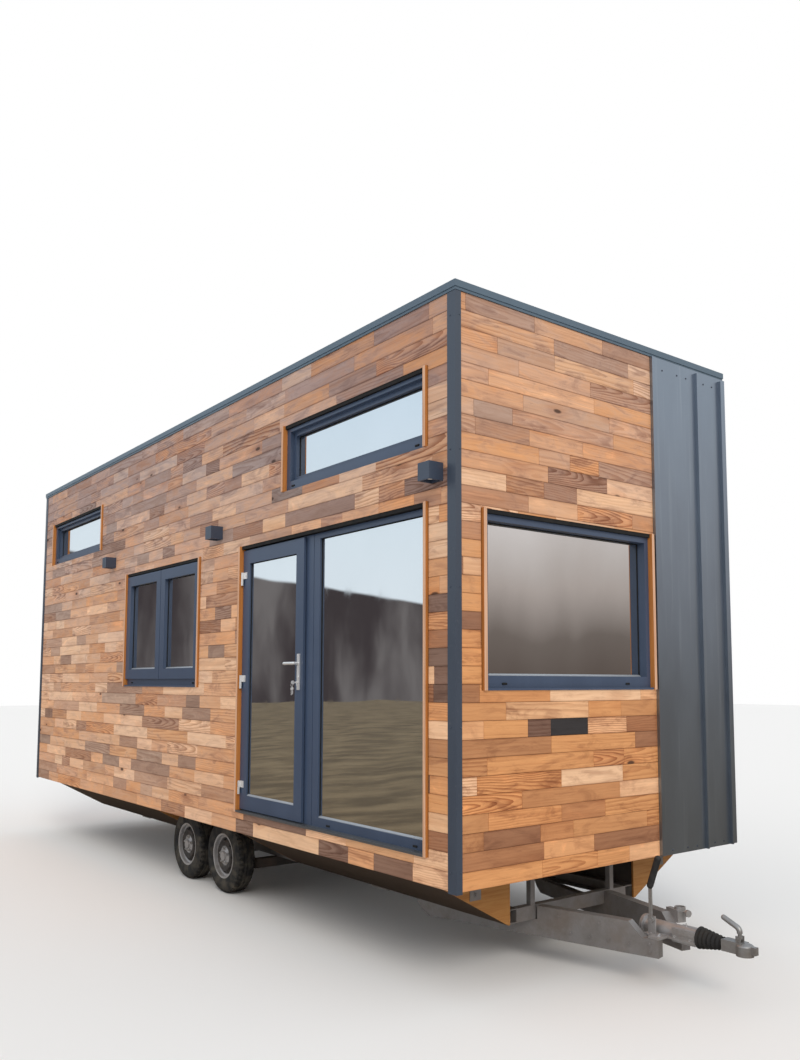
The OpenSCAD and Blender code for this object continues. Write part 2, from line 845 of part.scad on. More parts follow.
// The cast overrun housing between the beams, with its ribs and its rear flange.
module overrun_housing() {
    len = housing_x[1] - housing_x[0];
    color("#8d9093") under() translate([housing_x[0], mid, shaft_z])
        difference() {
            union() {
                rotate([0, 90, 0]) cylinder(r = 42, h = len);
                rotate([0, 90, 0]) cylinder(r = 58, h = 18);
                translate([len - 150, -housing_w / 2, -42]) cube([150, housing_w, 74]);
                translate([70, -foot_in, rail_z - shaft_z]) cube([80, 2 * foot_in, foot_t]);
                translate([130, -foot_out, rail_z - shaft_z]) cube([70, 2 * foot_out, foot_t]);
                translate([190, -housing_w / 2 - 10, rail_z - shaft_z])
                    cube([len - 190, housing_w + 20, foot_t]);
                for (z = [-20, 4])
                    translate([len - 150, -housing_w / 2 - 5, z])
                        cube([140, housing_w + 10, 8]);
            }
            translate([-cut, 0, 0]) rotate([0, 90, 0])
                cylinder(r = shaft_r + 1, h = len + 2 * cut);
        }
}

// The rubber bellows on the tow shaft.
module bellows() {
    len = bellows_x[1] - bellows_x[0];
    fold = len / bellows_n;
    color("#2a2a2c") under() translate([bellows_x[0], mid, shaft_z]) rotate([0, 90, 0])
        rotate_extrude()
            polygon(concat(
                [[shaft_r + hair, 0]],
                [for (i = [0:bellows_n - 1], k = [0, 1])
                    [bellows_r - i * 4 - k * 9, (i + k * 0.5) * fold]],
                [[bellows_r - bellows_n * 4 - 1, len], [shaft_r + hair, len]]
            ));
}

// The tow shaft and the coupling head with its ball socket.
module coupling_head() {
    head_l = reach - bellows_x[1];
    color("#c4c7c9") under() translate([0, mid, shaft_z])
        difference() {
            union() {
                translate([housing_x[0] + 20, 0, 0]) rotate([0, 90, 0])
                    cylinder(r = shaft_r, h = bellows_x[1] - housing_x[0]);
                translate([bellows_x[1] + 4, -32, -30]) cube([head_l - 70, 64, 60]);
                translate([head_x, 0, -36]) cylinder(r = 46, h = 50);
                translate([head_x, 0, 14]) scale([1, 1, 0.35]) sphere(r = 46);
                translate([head_x, -14, -20]) cube([70, 28, 40]);
                translate([grip_pivot[0], 0, grip_pivot[1] - shaft_z]) {
                    for (y = [-grip_w / 2 - hair - 8, grip_w / 2 + hair])
                        translate([-14, y, -24]) cube([28, 8, 36]);
                    translate([0, grip_w, 0]) rotate([90, 0, 0])
                        cylinder(r = pin_r, h = 2 * grip_w);
                }
            }
            translate([head_x, 0, -36 - cut]) cylinder(r = socket_r, h = 34 + cut);
            translate([head_x, 0, -2]) sphere(r = socket_r);
        }
}

// The curved grip that opens the coupling, turned about the head's cross pin.
module coupling_handle() {
    stub = 30;
    bend = 28;
    turn = 66;
    color("#8d9093") under() translate([grip_pivot[0], mid, grip_pivot[1]])
        difference() {
            union() {
                rotate([90, 0, 0]) cylinder(r = 12, h = grip_w, center = true);
                cylinder(r = 10.5, h = stub);
                translate([0, 0, stub - 6]) cylinder(r = grip_r - 0.5, h = 8);
                translate([-bend, 0, stub]) {
                    rotate([90, 0, 0]) rotate_extrude(angle = turn) translate([bend, 0]) circle(r = grip_r);
                    rotate([0, -turn, 0]) translate([bend, 0, -2]) {
                        cylinder(r = grip_r - 0.5, h = 86);
                        translate([0, 0, 86]) sphere(r = grip_r - 0.5);
                    }
                }
            }
            rotate([90, 0, 0]) cylinder(r = pin_r + hair, h = 2 * grip_w, center = true);
        }
}

// The bracket on the housing's foot that carries the handbrake lever on its pin.
module brake_bracket()
    color("#8d9093") under() {
        translate([brake_x - 25, brake_y + brake_boss_w / 2 + hair, rail_z + foot_t])
            cube([50, 8, brake_z - rail_z - foot_t + 22]);
        translate([brake_x, brake_y + brake_boss_w / 2 + 4, brake_z]) rotate([90, 0, 0])
            cylinder(r = pin_r, h = brake_boss_w + 8);
    }

// The handbrake lever, upright as when the brake is on, its grip leaning forward.
module handbrake_lever()
    under() translate([brake_x, brake_y, brake_z]) {
        color(zinc) difference() {
            union() {
                rotate([90, 0, 0]) cylinder(r = 18, h = brake_boss_w, center = true);
                translate([-10, -5, 0]) cube([20, 10, brake_rod]);
            }
            rotate([90, 0, 0]) cylinder(r = pin_r + hair, h = 2 * brake_boss_w, center = true);
        }
        color("#26282a") translate([0, 0, brake_rod]) rotate([0, brake_lean, 0]) {
            sphere(r = lever_r - 1);
            cylinder(r = lever_r, h = brake_grip);
            translate([0, 0, brake_grip]) sphere(r = lever_r);
        }
    }

// The clamp for the jockey wheel's tube, on the outside of the far beam.
module jockey_clamp()
    color("#55585b") under() translate([0, body_w - mid + bar_out, rail_z + up_h - clamp_h + 30])
        rotate([0, 0, -bar_angle]) translate([300, 0, 0]) {
            difference() {
                union() {
                    translate([0, 42, 0]) cylinder(r = 32, h = clamp_h);
                    translate([-clamp_l, 0, 0]) cube([clamp_l + 30, 34, clamp_h - 14]);
                    translate([-clamp_l, 0, 0]) cube([clamp_l, 56, clamp_h / 2]);
                }
                translate([0, 42, -cut]) cylinder(r = 24, h = clamp_h + 2 * cut);
            }
            translate([29, 42, clamp_h - 26]) rotate([0, 90, 0]) cylinder(r = 7, h = 32);
            translate([60, 42, clamp_h - 26]) rotate([0, 90, 0]) cylinder(r = 20, h = 18);
        }

door_wall_rear();
door_wall_over_door();
door_wall_front();
door_wall_sill();
front_wall();
far_wall();
rear_wall();
floor();
roof();
roof_sheet();
roof_edge();
corner_trims();
metal_front();
metal_far();
metal_rear();
door_frame();
door_threshold();
door_leaf();
door_glass();
door_hinges();
hinge_brackets();
handle_plate();
door_lever();
side_light_glass();
high_window();
small_window();
kitchen_window();
front_window();
far_windows();
window_glass();
opening_boards();
head_strips();
wall_lamps();
chassis_rails();
cross_members();
floor_bearers();
side_sheets();
gussets();
front_posts();
drawbar_beams();
axles();
at_wheel(0, false) tyre();  // tyre_front_near
at_wheel(0, false) rim();  // rim_front_near
at_wheel(1, false) tyre();  // tyre_rear_near
at_wheel(1, false) rim();  // rim_rear_near
at_wheel(0, true) tyre();  // tyre_front_far
at_wheel(0, true) rim();  // rim_front_far
at_wheel(1, true) tyre();  // tyre_rear_far
at_wheel(1, true) rim();  // rim_rear_far
overrun_housing();
bellows();
coupling_head();
coupling_handle();
brake_bracket();
handbrake_lever();
jockey_clamp();
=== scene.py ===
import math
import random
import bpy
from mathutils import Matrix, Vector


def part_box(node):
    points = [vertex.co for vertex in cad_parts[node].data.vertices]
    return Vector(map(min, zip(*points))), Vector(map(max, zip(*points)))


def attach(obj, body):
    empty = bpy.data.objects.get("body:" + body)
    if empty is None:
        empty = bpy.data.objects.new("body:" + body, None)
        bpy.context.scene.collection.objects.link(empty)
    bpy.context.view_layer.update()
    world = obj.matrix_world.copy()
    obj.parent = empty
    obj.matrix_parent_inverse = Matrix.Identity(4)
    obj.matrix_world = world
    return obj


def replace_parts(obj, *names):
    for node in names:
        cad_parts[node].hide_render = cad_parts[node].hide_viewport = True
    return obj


bl_info = {
    "name": "Tiny House on Wheels",
    "version": (1, 0, 0),
    "blender": (4, 2, 0),
    "location": "View3D > Sidebar > Tiny House",
    "description": "Dresses a timber-clad house trailer with boards, frames, glass and metal",
    "category": "Object",
}

import bmesh
import bpy
from mathutils import Matrix, Quaternion, Vector

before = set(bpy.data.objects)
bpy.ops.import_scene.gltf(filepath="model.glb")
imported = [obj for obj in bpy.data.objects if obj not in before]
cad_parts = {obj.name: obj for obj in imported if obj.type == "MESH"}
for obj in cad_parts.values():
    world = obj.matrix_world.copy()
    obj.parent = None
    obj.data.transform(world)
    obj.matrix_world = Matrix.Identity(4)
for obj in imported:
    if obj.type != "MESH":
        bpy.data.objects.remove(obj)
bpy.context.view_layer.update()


# Where the house stands in the frame

FRONT_LOW, FRONT_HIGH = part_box("front_wall")
X_FRONT = FRONT_HIGH.x
X_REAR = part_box("rear_wall")[0].x
Y_NEAR = FRONT_LOW.y
Y_FAR = FRONT_HIGH.y
Z_LOW = FRONT_LOW.z
Z_HIGH = FRONT_HIGH.z
Y_MID = (Y_NEAR + Y_FAR) / 2
BODY_L = X_FRONT - X_REAR
BODY_W = Y_FAR - Y_NEAR
WHEELS = ("front_near", "rear_near", "front_far", "rear_far")

# A drawbar beam's angle to the trailer's length, and its outer face's place across at the front
BEAM_TURN = math.radians(15.2)
BEAM_ROOT = 0.9914

# How far the sheet metal stands out, and the heights of the tow shaft's axis and of the housing's foot
# from the cladding's edge
SHEET_OUT = 0.016
SHAFT_W = -0.300
FOOT_W = -0.330


def at(u, v, w):
    """A point by its distance behind the front, inward from the door side, above the cladding's edge."""
    return Vector((X_FRONT - u, Y_NEAR + v, Z_LOW + w))


def centre_of(node):
    """The middle of a node's box."""
    low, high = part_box(node)
    return (low + high) / 2


def on_beam(along, out, z, far=False):
    """A point beside a drawbar beam: along it from the front, outward from its outer face."""
    x = along * math.cos(BEAM_TURN) + out * math.sin(BEAM_TURN)
    y = BEAM_ROOT + along * math.sin(BEAM_TURN) - out * math.cos(BEAM_TURN)
    return at(-x, BODY_W - y if far else y, z)


# Sizes and colours that a user would change

def length_setting(name, description, default):
    """A length in metres."""
    return bpy.props.FloatProperty(name=name, description=description, default=default, unit="LENGTH")


def colour_setting(name, description, *rgb):
    """A linear colour."""
    return bpy.props.FloatVectorProperty(
        name=name, description=description, subtype="COLOR", size=4, default=(*rgb, 1))


class HouseSizes(bpy.types.PropertyGroup):
    """Sizes of the boards and of the small parts that the frame leaves plain."""

    courses: bpy.props.IntProperty(
        name="Courses", description="Number of board courses over the wall's height", default=33, min=20, max=50)
    board_t: length_setting("Board thickness", "Thickness of a cladding board", 0.018)
    board_gap: length_setting("Board gap", "Gap between two boards", 0.0014)
    board_edge: length_setting("Board edge", "Bevel on a board's front edges", 0.0016)
    board_short: length_setting("Shortest board", "Shortest board in a course", 0.24)
    board_long: length_setting("Longest board", "Longest board in a course", 0.90)
    shadow_gap: length_setting("Shadow gap", "Gap between the cladding and the boards of an opening", 0.009)
    felt_t: length_setting("Felt", "Thickness of the black felt behind the cladding", 0.002)
    bead: length_setting("Glazing bead", "Height of the bead under a pane", 0.013)
    gasket: length_setting("Gasket", "Width of the black gasket round a pane", 0.005)


class HouseColours(bpy.types.PropertyGroup):
    """Colours of the house, as linear values."""

    honey: colour_setting("Honey board", "Main colour of the boards", 0.66, 0.315, 0.125)
    pale: colour_setting("Pale board", "Colour of the lightest boards", 0.82, 0.53, 0.325)
    brown: colour_setting("Brown board", "Colour of the brown boards", 0.35, 0.160, 0.078)
    dusk: colour_setting("Dark board", "Colour of the dark purple-brown boards", 0.185, 0.105, 0.076)
    grey: colour_setting("Weathered board", "Colour of weathered wood", 0.41, 0.340, 0.335)
    # On the front this colour also makes the painted glare over the upper boards
    bleached: colour_setting("Bleached board", "Colour of wood that the sun has bleached", 0.74, 0.52, 0.385)
    charred: colour_setting("Charred board", "Colour of the few charred boards", 0.036, 0.033, 0.035)
    # The opening boards' two colours are painted light and shade: a lit outward edge and shaded reveals
    trim_shaded_board: colour_setting("Opening board", "Colour of the boards beside the openings", 0.52, 0.200, 0.050)
    trim_lit_edge: colour_setting("Opening board edge", "Colour of those boards' front edges", 0.66, 0.40, 0.26)
    frame_colour: colour_setting("Frames", "Colour of window and door frames", 0.046, 0.069, 0.120)
    sheet_colour: colour_setting("Sheet metal", "Colour of the standing-seam sheet", 0.250, 0.290, 0.350)
    trim_colour: colour_setting("Metal trims", "Colour of the corner trims", 0.040, 0.053, 0.078)
    edge_colour: colour_setting("Roof edge", "Colour of the roof's edge", 0.072, 0.110, 0.150)
    galvanised: colour_setting("Galvanised steel", "Colour of the chassis", 0.245, 0.236, 0.236)


class StudioSettings(bpy.types.PropertyGroup):
    """The camera and the light."""

    lens: bpy.props.FloatProperty(
        name="Lens", description="Focal length on a 36 mm sensor", default=31.138, unit="CAMERA")
    shift_x: bpy.props.FloatProperty(name="Shift X", description="Sideways shift of the picture", default=-0.0128)
    shift_y: bpy.props.FloatProperty(name="Shift Y", description="Upward shift of the picture", default=0.0673)
    yaw: bpy.props.FloatProperty(
        name="Heading", description="Heading of the camera from +X towards +Y",
        default=math.radians(141.986), subtype="ANGLE")
    pitch: bpy.props.FloatProperty(
        name="Pitch", description="Upward tilt of the camera", default=math.radians(5.015), subtype="ANGLE")
    roll: bpy.props.FloatProperty(
        name="Roll", description="Turn of the picture", default=math.radians(0.098), subtype="ANGLE")
    daylight: bpy.props.FloatProperty(
        name="Daylight", description="Strength of the even light", default=0.86, min=0)
    key: bpy.props.FloatProperty(
        name="Key light", description="Strength of the soft key light", default=1.1, min=0)


def sizes():
    """The sizes in use."""
    return bpy.context.scene.house_sizes


def colours():
    """The colours in use."""
    return bpy.context.scene.house_colours


# Shader nodes written as sums

class Wire:
    """A shader value that takes part in sums."""

    def __init__(self, nodes, socket):
        self.nodes = nodes
        self.socket = socket

    def maths(self, operation, first, second):
        return self.nodes.node("ShaderNodeMath", {"operation": operation}, {0: first, 1: second})

    def __add__(self, other):
        return self.maths("ADD", self, other)

    def __radd__(self, other):
        return self.maths("ADD", other, self)

    def __sub__(self, other):
        return self.maths("SUBTRACT", self, other)

    def __rsub__(self, other):
        return self.maths("SUBTRACT", other, self)

    def __mul__(self, other):
        return self.maths("MULTIPLY", self, other)

    def __rmul__(self, other):
        return self.maths("MULTIPLY", other, self)

    def __pow__(self, other):
        return self.maths("POWER", self, other)

    def __mod__(self, other):
        return self.maths("FLOORED_MODULO", self, other)

    def __abs__(self):
        return self.maths("ABSOLUTE", self, 0)


class Nodes:
    """Builds a node tree node by node."""

    def __init__(self, tree):
        self.tree = tree

    def node(self, kind, settings, inputs, output=0):
        """Adds a node: its settings first, then the values or links of its sockets."""
        made = self.tree.nodes.new(kind)
        for name, value in settings.items():
            if name == "stops":
                ramp = made.color_ramp
                while len(ramp.elements) < len(value):
                    ramp.elements.new(0.5)
                for element, (place, colour) in zip(ramp.elements, value):
                    element.position = place
                    element.color = colour
            else:
                setattr(made, name, value)
        for name, value in inputs.items():
            if isinstance(value, Wire):
                self.tree.links.new(value.socket, made.inputs[name])
            else:
                made.inputs[name].default_value = value
        return Wire(self, made.outputs[output]) if made.outputs else None

    def place(self, scale=(1, 1, 1), offset=(0, 0, 0), shift=None):
        """The object's own coordinates, shifted, then scaled."""
        spot = self.node("ShaderNodeTexCoord", {}, {}, "Object")
        if shift is not None:
            spot = self.node("ShaderNodeVectorMath", {"operation": "ADD"}, {0: spot, 1: shift})
        return self.node("ShaderNodeMapping", {}, {"Vector": spot, "Scale": scale, "Location": offset})

    def part(self, vector, axis):
        """One coordinate of a vector."""
        return self.node("ShaderNodeSeparateXYZ", {}, {"Vector": vector}, axis)

    def stored(self, name):
        """A value that is stored on the mesh."""
        return self.node("ShaderNodeAttribute", {"attribute_name": name}, {}, "Fac")

    def noise(self, spot, scale, detail=4.0, rough=0.5, warp=0.0):
        return self.node("ShaderNodeTexNoise", {}, {
            "Vector": spot, "Scale": scale, "Detail": detail, "Roughness": rough, "Distortion": warp}, "Fac")

    def cells(self, spot, scale, output="Distance"):
        return self.node("ShaderNodeTexVoronoi", {"feature": "F1"}, {"Vector": spot, "Scale": scale}, output)

    def ramp(self, factor, low, high):
        """A smooth step of a value from 0 at low to 1 at high."""
        return self.node("ShaderNodeMapRange", {"interpolation_type": "SMOOTHSTEP"}, {
            "Value": factor, "From Min": low, "From Max": high})

    def mix(self, factor, first, second, blend="MIX"):
        """Mixes two colours."""
        made = self.tree.nodes.new("ShaderNodeMix")
        made.data_type = "RGBA"
        made.blend_type = blend
        for index, value in ((0, factor), (6, first), (7, second)):
            if isinstance(value, Wire):
                self.tree.links.new(value.socket, made.inputs[index])
            else:
                made.inputs[index].default_value = value
        return Wire(self, made.outputs[2])

    def shade(self, factor, body, colour):
        """Multiplies a colour by another as far as the factor says."""
        return self.mix(factor, body, colour, "MULTIPLY")

    def stain(self, body, mask, low, high, much, colour):
        """Multiplies a colour by another where a mask rises from low to high."""
        return self.shade(self.ramp(mask, low, high) * much, body, colour)


class Finish(Nodes):
    """A material that is built node by node."""

    def __init__(self, name, **constants):
        self.material = bpy.data.materials.new(name)
        self.material.use_nodes = True
        super().__init__(self.material.node_tree)
        self.shader = self.tree.nodes["Principled BSDF"]
        for socket, value in constants.items():
            self.shader.inputs[socket.replace("_", " ")].default_value = value

    def feed(self, socket, wire):
        """Links a value to one of the shader's sockets."""
        self.tree.links.new(wire.socket, self.shader.inputs[socket])

    def done(self, body, rough, height, strength, distance):
        """Feeds the colour, the roughness and the bump, and returns the material."""
        self.feed("Base Color", body)
        self.feed("Roughness", rough)
        self.feed("Normal", self.node("ShaderNodeBump", {}, {
            "Height": height, "Strength": strength, "Distance": distance}, "Normal"))
        return self.material


# Finishes

MATERIALS = {}


def boards_finish(name, along, fresh):
    """Larch boards whose grain runs along one axis, with flat-sawn arches, knots and weathering."""
    tint = colours()
    wood = Finish(name, Roughness=0.62, Specular_IOR_Level=0.28)
    tone, seed, middle, start = (wood.stored(item) for item in ("tone", "seed", "middle", "start"))
    second, third, fourth = (seed * 7.31) % 1, (seed * 13.7) % 1, (seed * 29.3) % 1
    shift = wood.node("ShaderNodeCombineXYZ", {}, {"X": seed * 31.0, "Y": seed * 17.0, "Z": seed * 7.0})
    spot = wood.place()
    run = wood.part(spot, along) - start
    rise = wood.part(spot, "Z") - middle

    def grain(length, width):
        scale = (length, width, width) if along == "X" else (width, length, width)
        return wood.place(scale, shift=shift)

    # Noises drawn out along the grain, and knots
    streaks = wood.noise(grain(1.8, 110), 1.0, 6.0, 0.66)
    bands = wood.noise(grain(1.3, 17), 1.0, 3.0, 0.55, 0.8)
    blots = wood.noise(grain(3.4, 12), 1.0, 5.0, 0.66, 0.9)
    cracks = wood.ramp(wood.noise(grain(4.0, 210), 1.0, 3.0, 0.5), 0.66, 0.74)
    warp = wood.noise(grain(2.4, 9), 1.0, 3.0, 0.5) - 0.5
    knots_at = grain(2.6, 7.0)
    knots = wood.cells(knots_at, 1.0)
    chosen = wood.ramp(wood.part(wood.cells(knots_at, 1.0, "Color"), "X"), 0.60, 0.64)
    knot = wood.ramp(knots, 0.120, 0.060) * chosen
    halo = wood.ramp(knots, 0.46, 0.06) * chosen

    # Growth rings: circles about a pith that lies under the board and drifts along it
    depth = third * 0.045 + 0.008 + run * (second - 0.5) * 0.20
    across = rise + (seed - 0.5) * 0.15 + warp * 0.042
    radius = (across * across + depth * depth) ** 0.5 + halo * 0.018
    rings = (radius * (40 + fourth * 44) + streaks * 0.30) % 1
    late = wood.ramp(rings, 0.30, 0.98) * (0.08 + second * second * second * 0.92) * wood.ramp(bands, 0.16, 0.46)

    # The board's own colour: on the door side weathered more towards the rear, and greyer and darker towards the top;
    # on the front paler towards the top, which is painted glare, and a little greyer
    body = wood.node("ShaderNodeValToRGB", {"stops": [
        (0.0, tint.charred), (0.05, tint.charred), (0.07, tint.dusk), (0.15, tint.dusk), (0.29, tint.brown),
        (0.50, tint.honey), (0.64, tint.honey), (0.92, tint.pale)]}, {"Fac": tone}, "Color")
    height = wood.part(spot, "Z")
    upper = wood.ramp(height, Z_LOW + 1.0, Z_HIGH)
    age = 0.30 + third * 0.8 + wood.ramp(blots, 0.40, 0.62) * 0.6
    if fresh:
        # On the front, the paler top is painted glare over the upper boards; the light greying with it is weathering
        body = wood.mix(upper * age * 0.46, body, wood.mix(0.74, body, tint.bleached))
        body = wood.mix(upper * age * 0.20, body, tint.grey)
    else:
        back = wood.ramp(wood.part(spot, "X"), X_FRONT + 0.2, X_REAR + 2.4)
        body = wood.mix((0.08 + back * 0.50) * age, body, wood.mix(0.74, body, tint.bleached))
        body = wood.mix(upper * (0.60 + back * 0.28) * age, body, wood.mix(0.74, body, tint.grey))
        # Darker and greyer towards the top of the door side
        body = wood.stain(body, height, Z_HIGH - 1.2, Z_HIGH, 0.7, (0.80, 0.77, 0.80, 1))

    # Blots, bands, late wood, streaks, cracks and darker edges on it
    body = wood.shade(fourth * 0.40, body, (1.10, 0.92, 0.82, 1))
    body = wood.stain(body, blots, 0.49, 0.68, 0.25 + second * 0.65, (0.56, 0.47, 0.45, 1))
    body = wood.stain(body, blots, 0.46, 0.26, 0.2 + fourth * 0.7, (1.34, 1.30, 1.26, 1))
    body = wood.stain(body, bands, 0.40, 0.80, 0.42, (0.62, 0.50, 0.42, 1))
    body = wood.shade(late * 0.84, body, (0.46, 0.285, 0.19, 1))
    body = wood.stain(body, streaks, 0.52, 0.80, 0.60, (0.56, 0.46, 0.40, 1))
    body = wood.stain(body, streaks, 0.46, 0.20, 0.40, (1.40, 1.32, 1.24, 1))
    body = wood.shade(cracks * 0.55, body, (0.30, 0.20, 0.15, 1))
    edge = wood.ramp(abs(rise), 0.038, 0.0485) * wood.ramp(bands, 0.2, 0.7)
    body = wood.shade(edge * 0.45, body, (0.50, 0.38, 0.32, 1))
    body = wood.shade(halo * 0.36, body, (0.60, 0.38, 0.26, 1))
    body = wood.mix(knot * 0.88, body, (0.050, 0.024, 0.015, 1))
    relief = streaks * 0.6 - late * 0.35 - knot * 0.4 - cracks * 0.3
    return wood.done(body, 0.52 + streaks * 0.25, relief, 0.6, 0.0018)


def plain_wood_finish(name, colour, along):
    """Planed wood with a quiet grain."""
    wood = Finish(name, Roughness=0.6, Specular_IOR_Level=0.3)
    fine = {"X": (2, 70, 70), "Y": (70, 2, 70), "Z": (70, 70, 2)}[along]
    wide = {"X": (0.7, 9, 9), "Y": (9, 0.7, 9), "Z": (9, 9, 0.7)}[along]
    streaks = wood.noise(wood.place(fine), 1.0, 5.0, 0.6, 0.2)
    bands = wood.noise(wood.place(wide), 1.0, 3.0, 0.5, 0.8)
    body = wood.stain(colour, streaks, 0.35, 0.75, 0.55, (0.62, 0.50, 0.42, 1))
    body = wood.stain(body, bands, 0.35, 0.75, 0.45, (0.74, 0.63, 0.54, 1))
    return wood.done(body, 0.5 + streaks * 0.25, streaks, 0.3, 0.001)


def opening_board_finish(name):
    """Oiled boards beside the openings, with a paler front edge as a painted highlight and darker reveals as painted
    shade.
    """
    tint = colours()
    wood = Finish(name, Roughness=0.55, Specular_IOR_Level=0.3)
    streaks = wood.noise(wood.place((80, 80, 2)), 1.0, 5.0, 0.6, 0.2)
    facing = wood.node("ShaderNodeNewGeometry", {}, {}, "True Normal")
    in_front = wood.ramp(wood.part(wood.place(), "X"), X_FRONT - 0.182, X_FRONT - 0.178)
    outer = abs(wood.part(facing, "Y")) * (1 - in_front) + abs(wood.part(facing, "X")) * in_front
    # Painted light and shade: faces turned outward take the lit colour, the reveals and other faces the shaded one
    body = wood.mix(wood.ramp(outer, 0.6, 0.8), tint.trim_shaded_board, tint.trim_lit_edge)
    body = wood.stain(body, streaks, 0.35, 0.75, 0.6, (0.60, 0.46, 0.36, 1))
    return wood.done(body, 0.45 + streaks * 0.25, streaks, 0.3, 0.001)


def plywood_finish(name):
    """Raw plywood whose edges show its plies."""
    wood = Finish(name, Roughness=0.65, Specular_IOR_Level=0.25)
    streaks = wood.noise(wood.place((30, 3, 60)), 1.0, 5.0, 0.62, 0.5)
    stains = wood.noise(wood.place(), 5.0, 4.0, 0.55)
    edge = abs(wood.part(wood.node("ShaderNodeNewGeometry", {}, {}, "True Normal"), "X"))
    plies = wood.ramp(abs((wood.part(wood.place(), "X") * 330) % 1 - 0.5), 0.22, 0.28)
    body = wood.stain((0.37, 0.175, 0.052, 1), streaks, 0.35, 0.72, 0.6, (0.62, 0.48, 0.36, 1))
    body = wood.shade(plies * wood.ramp(edge, 0.6, 0.4) * 0.6, body, (0.45, 0.33, 0.25, 1))
    body = wood.stain(body, stains, 0.52, 0.74, 0.55, (0.50, 0.42, 0.36, 1))
    return wood.done(body, 0.55 + streaks * 0.2, streaks, 0.35, 0.001)


def coated_finish(name, colour, rough, wave=0.0, dirt=0.10, metal=0.0):
    """Coated metal or plastic with faint clouds, dust and orange peel; wave bends a sheet's reflections."""
    coat = Finish(name, Roughness=rough, Specular_IOR_Level=0.5, Metallic=metal)
    cloud = coat.noise(coat.place((1, 1, 0.35)), 3.2, 5.0, 0.6)
    dust = coat.noise(coat.place(), 46.0, 4.0, 0.65)
    runs = coat.noise(coat.place((26, 26, 0.9)), 1.0, 4.0, 0.55)
    body = coat.stain(colour, cloud, 0.35, 0.72, 0.35, (1.32, 1.31, 1.29, 1))
    body = coat.stain(body, runs, 0.52, 0.80, 0.16 + metal * 0.3, (1.55, 1.50, 1.42, 1))
    body = coat.mix(coat.ramp(dust, 0.60, 0.82) * dirt, body, (0.34, 0.33, 0.31, 1))
    polish = rough - 0.07 + cloud * 0.14 + coat.ramp(runs, 0.5, 0.8) * 0.06
    peel = coat.noise(coat.place(), 420.0, 2.0, 0.5)
    if wave:
        buckle = coat.noise(coat.place((2.6, 2.6, 1.1)), 1.0, 2.0, 0.5)
        return coat.done(body, polish, peel * 0.02 + buckle, 0.5, wave)
    return coat.done(body, polish, peel, 0.12, 0.0006)


def steel_finish(name, colour, rough, metal, stain=0.3, dirt=0.0):
    """Galvanised, cast or brushed steel with spangle, stains and dried mud."""
    steel = Finish(name, Roughness=rough, Metallic=metal)
    cloud = steel.noise(steel.place(), 9.0, 5.0, 0.62, 0.4)
    mud = steel.noise(steel.place(), 3.1, 6.0, 0.66)
    spangle = steel.cells(steel.place(), 90.0)
    body = steel.stain(colour, cloud, 0.32, 0.72, stain, (0.50, 0.42, 0.35, 1))
    body = steel.shade(spangle * 0.25, body, (1.35, 1.35, 1.35, 1))
    if dirt:
        soiled = steel.ramp(mud, 0.46, 0.68) * dirt
        body = steel.mix(soiled, body, (0.125, 0.082, 0.052, 1))
        steel.feed("Metallic", metal * (1 - soiled))
    return steel.done(body, rough - 0.08 + cloud * 0.18, cloud + spangle * 0.15, 0.15, 0.0012)


def rim_finish(name):
    """Silver wheel paint, bright at the edge and round the hub, with a dark ring across the dish between them, and
    mud.
    """
    paint = Finish(name, Roughness=0.38, Metallic=0.5)
    front, rear = centre_of("rim_front_near"), centre_of("rim_rear_near")
    spot = paint.place()
    run = abs(paint.part(spot, "X") - (front.x + rear.x) / 2) - abs(rear.x - front.x) / 2
    rise = paint.part(spot, "Z") - front.z
    reach = (run * run + rise * rise) ** 0.5
    mud = paint.noise(paint.place(), 7.0, 6.0, 0.64)
    grains = paint.noise(paint.place(), 60.0, 4.0, 0.6)
    # A dark ring across the dish, between the bright edge and the bright hub
    dish = paint.ramp(reach, 0.152, 0.140) * paint.ramp(reach, 0.066, 0.082)
    dust = dish * (0.80 + grains * 0.40)
    soiled = paint.ramp(mud, 0.50, 0.70) * 0.40
    body = paint.mix(dust, (0.45, 0.44, 0.445, 1), (0.034, 0.028, 0.026, 1))
    body = paint.mix(soiled, body, (0.105, 0.074, 0.050, 1))
    paint.feed("Metallic", 0.5 * (1 - soiled) * (1 - dish * 0.8))
    return paint.done(body, 0.32 + dish * 0.25 + grains * 0.12, grains, 0.12, 0.0006)


def rubber_finish(name, dusty, colour=(0.016, 0.016, 0.017, 1)):
    """Tyre, felt or bellows rubber with dust in patches."""
    rubber = Finish(name, Roughness=0.78, Specular_IOR_Level=0.3)
    cloud = rubber.noise(rubber.place(), 14.0, 6.0, 0.6)
    body = rubber.mix(rubber.ramp(cloud, 0.38, 0.75) * dusty, colour, (0.16, 0.135, 0.10, 1))
    return rubber.done(body, 0.70 + cloud * 0.2, cloud, 0.2, 0.001)


def pane_finish(name):
    """Coated double glazing that mirrors the light round it and lets a little through."""
    pane = Finish(name, Roughness=0.02, Metallic=1.0, Alpha=0.92)
    haze = pane.noise(pane.place(), 2.4, 3.0, 0.5)
    dust = pane.noise(pane.place((1, 1, 0.6)), 7.0, 5.0, 0.6)
    body = pane.mix(haze, (0.80, 0.83, 0.85, 1), (0.86, 0.88, 0.90, 1))
    bow = pane.noise(pane.place((1, 1, 0.8)), 1.3, 1.0, 0.4)
    pane.material.blend_method = "HASHED"
    return pane.done(body, 0.015 + pane.ramp(dust, 0.5, 0.8) * 0.05, bow, 0.5, 0.006)


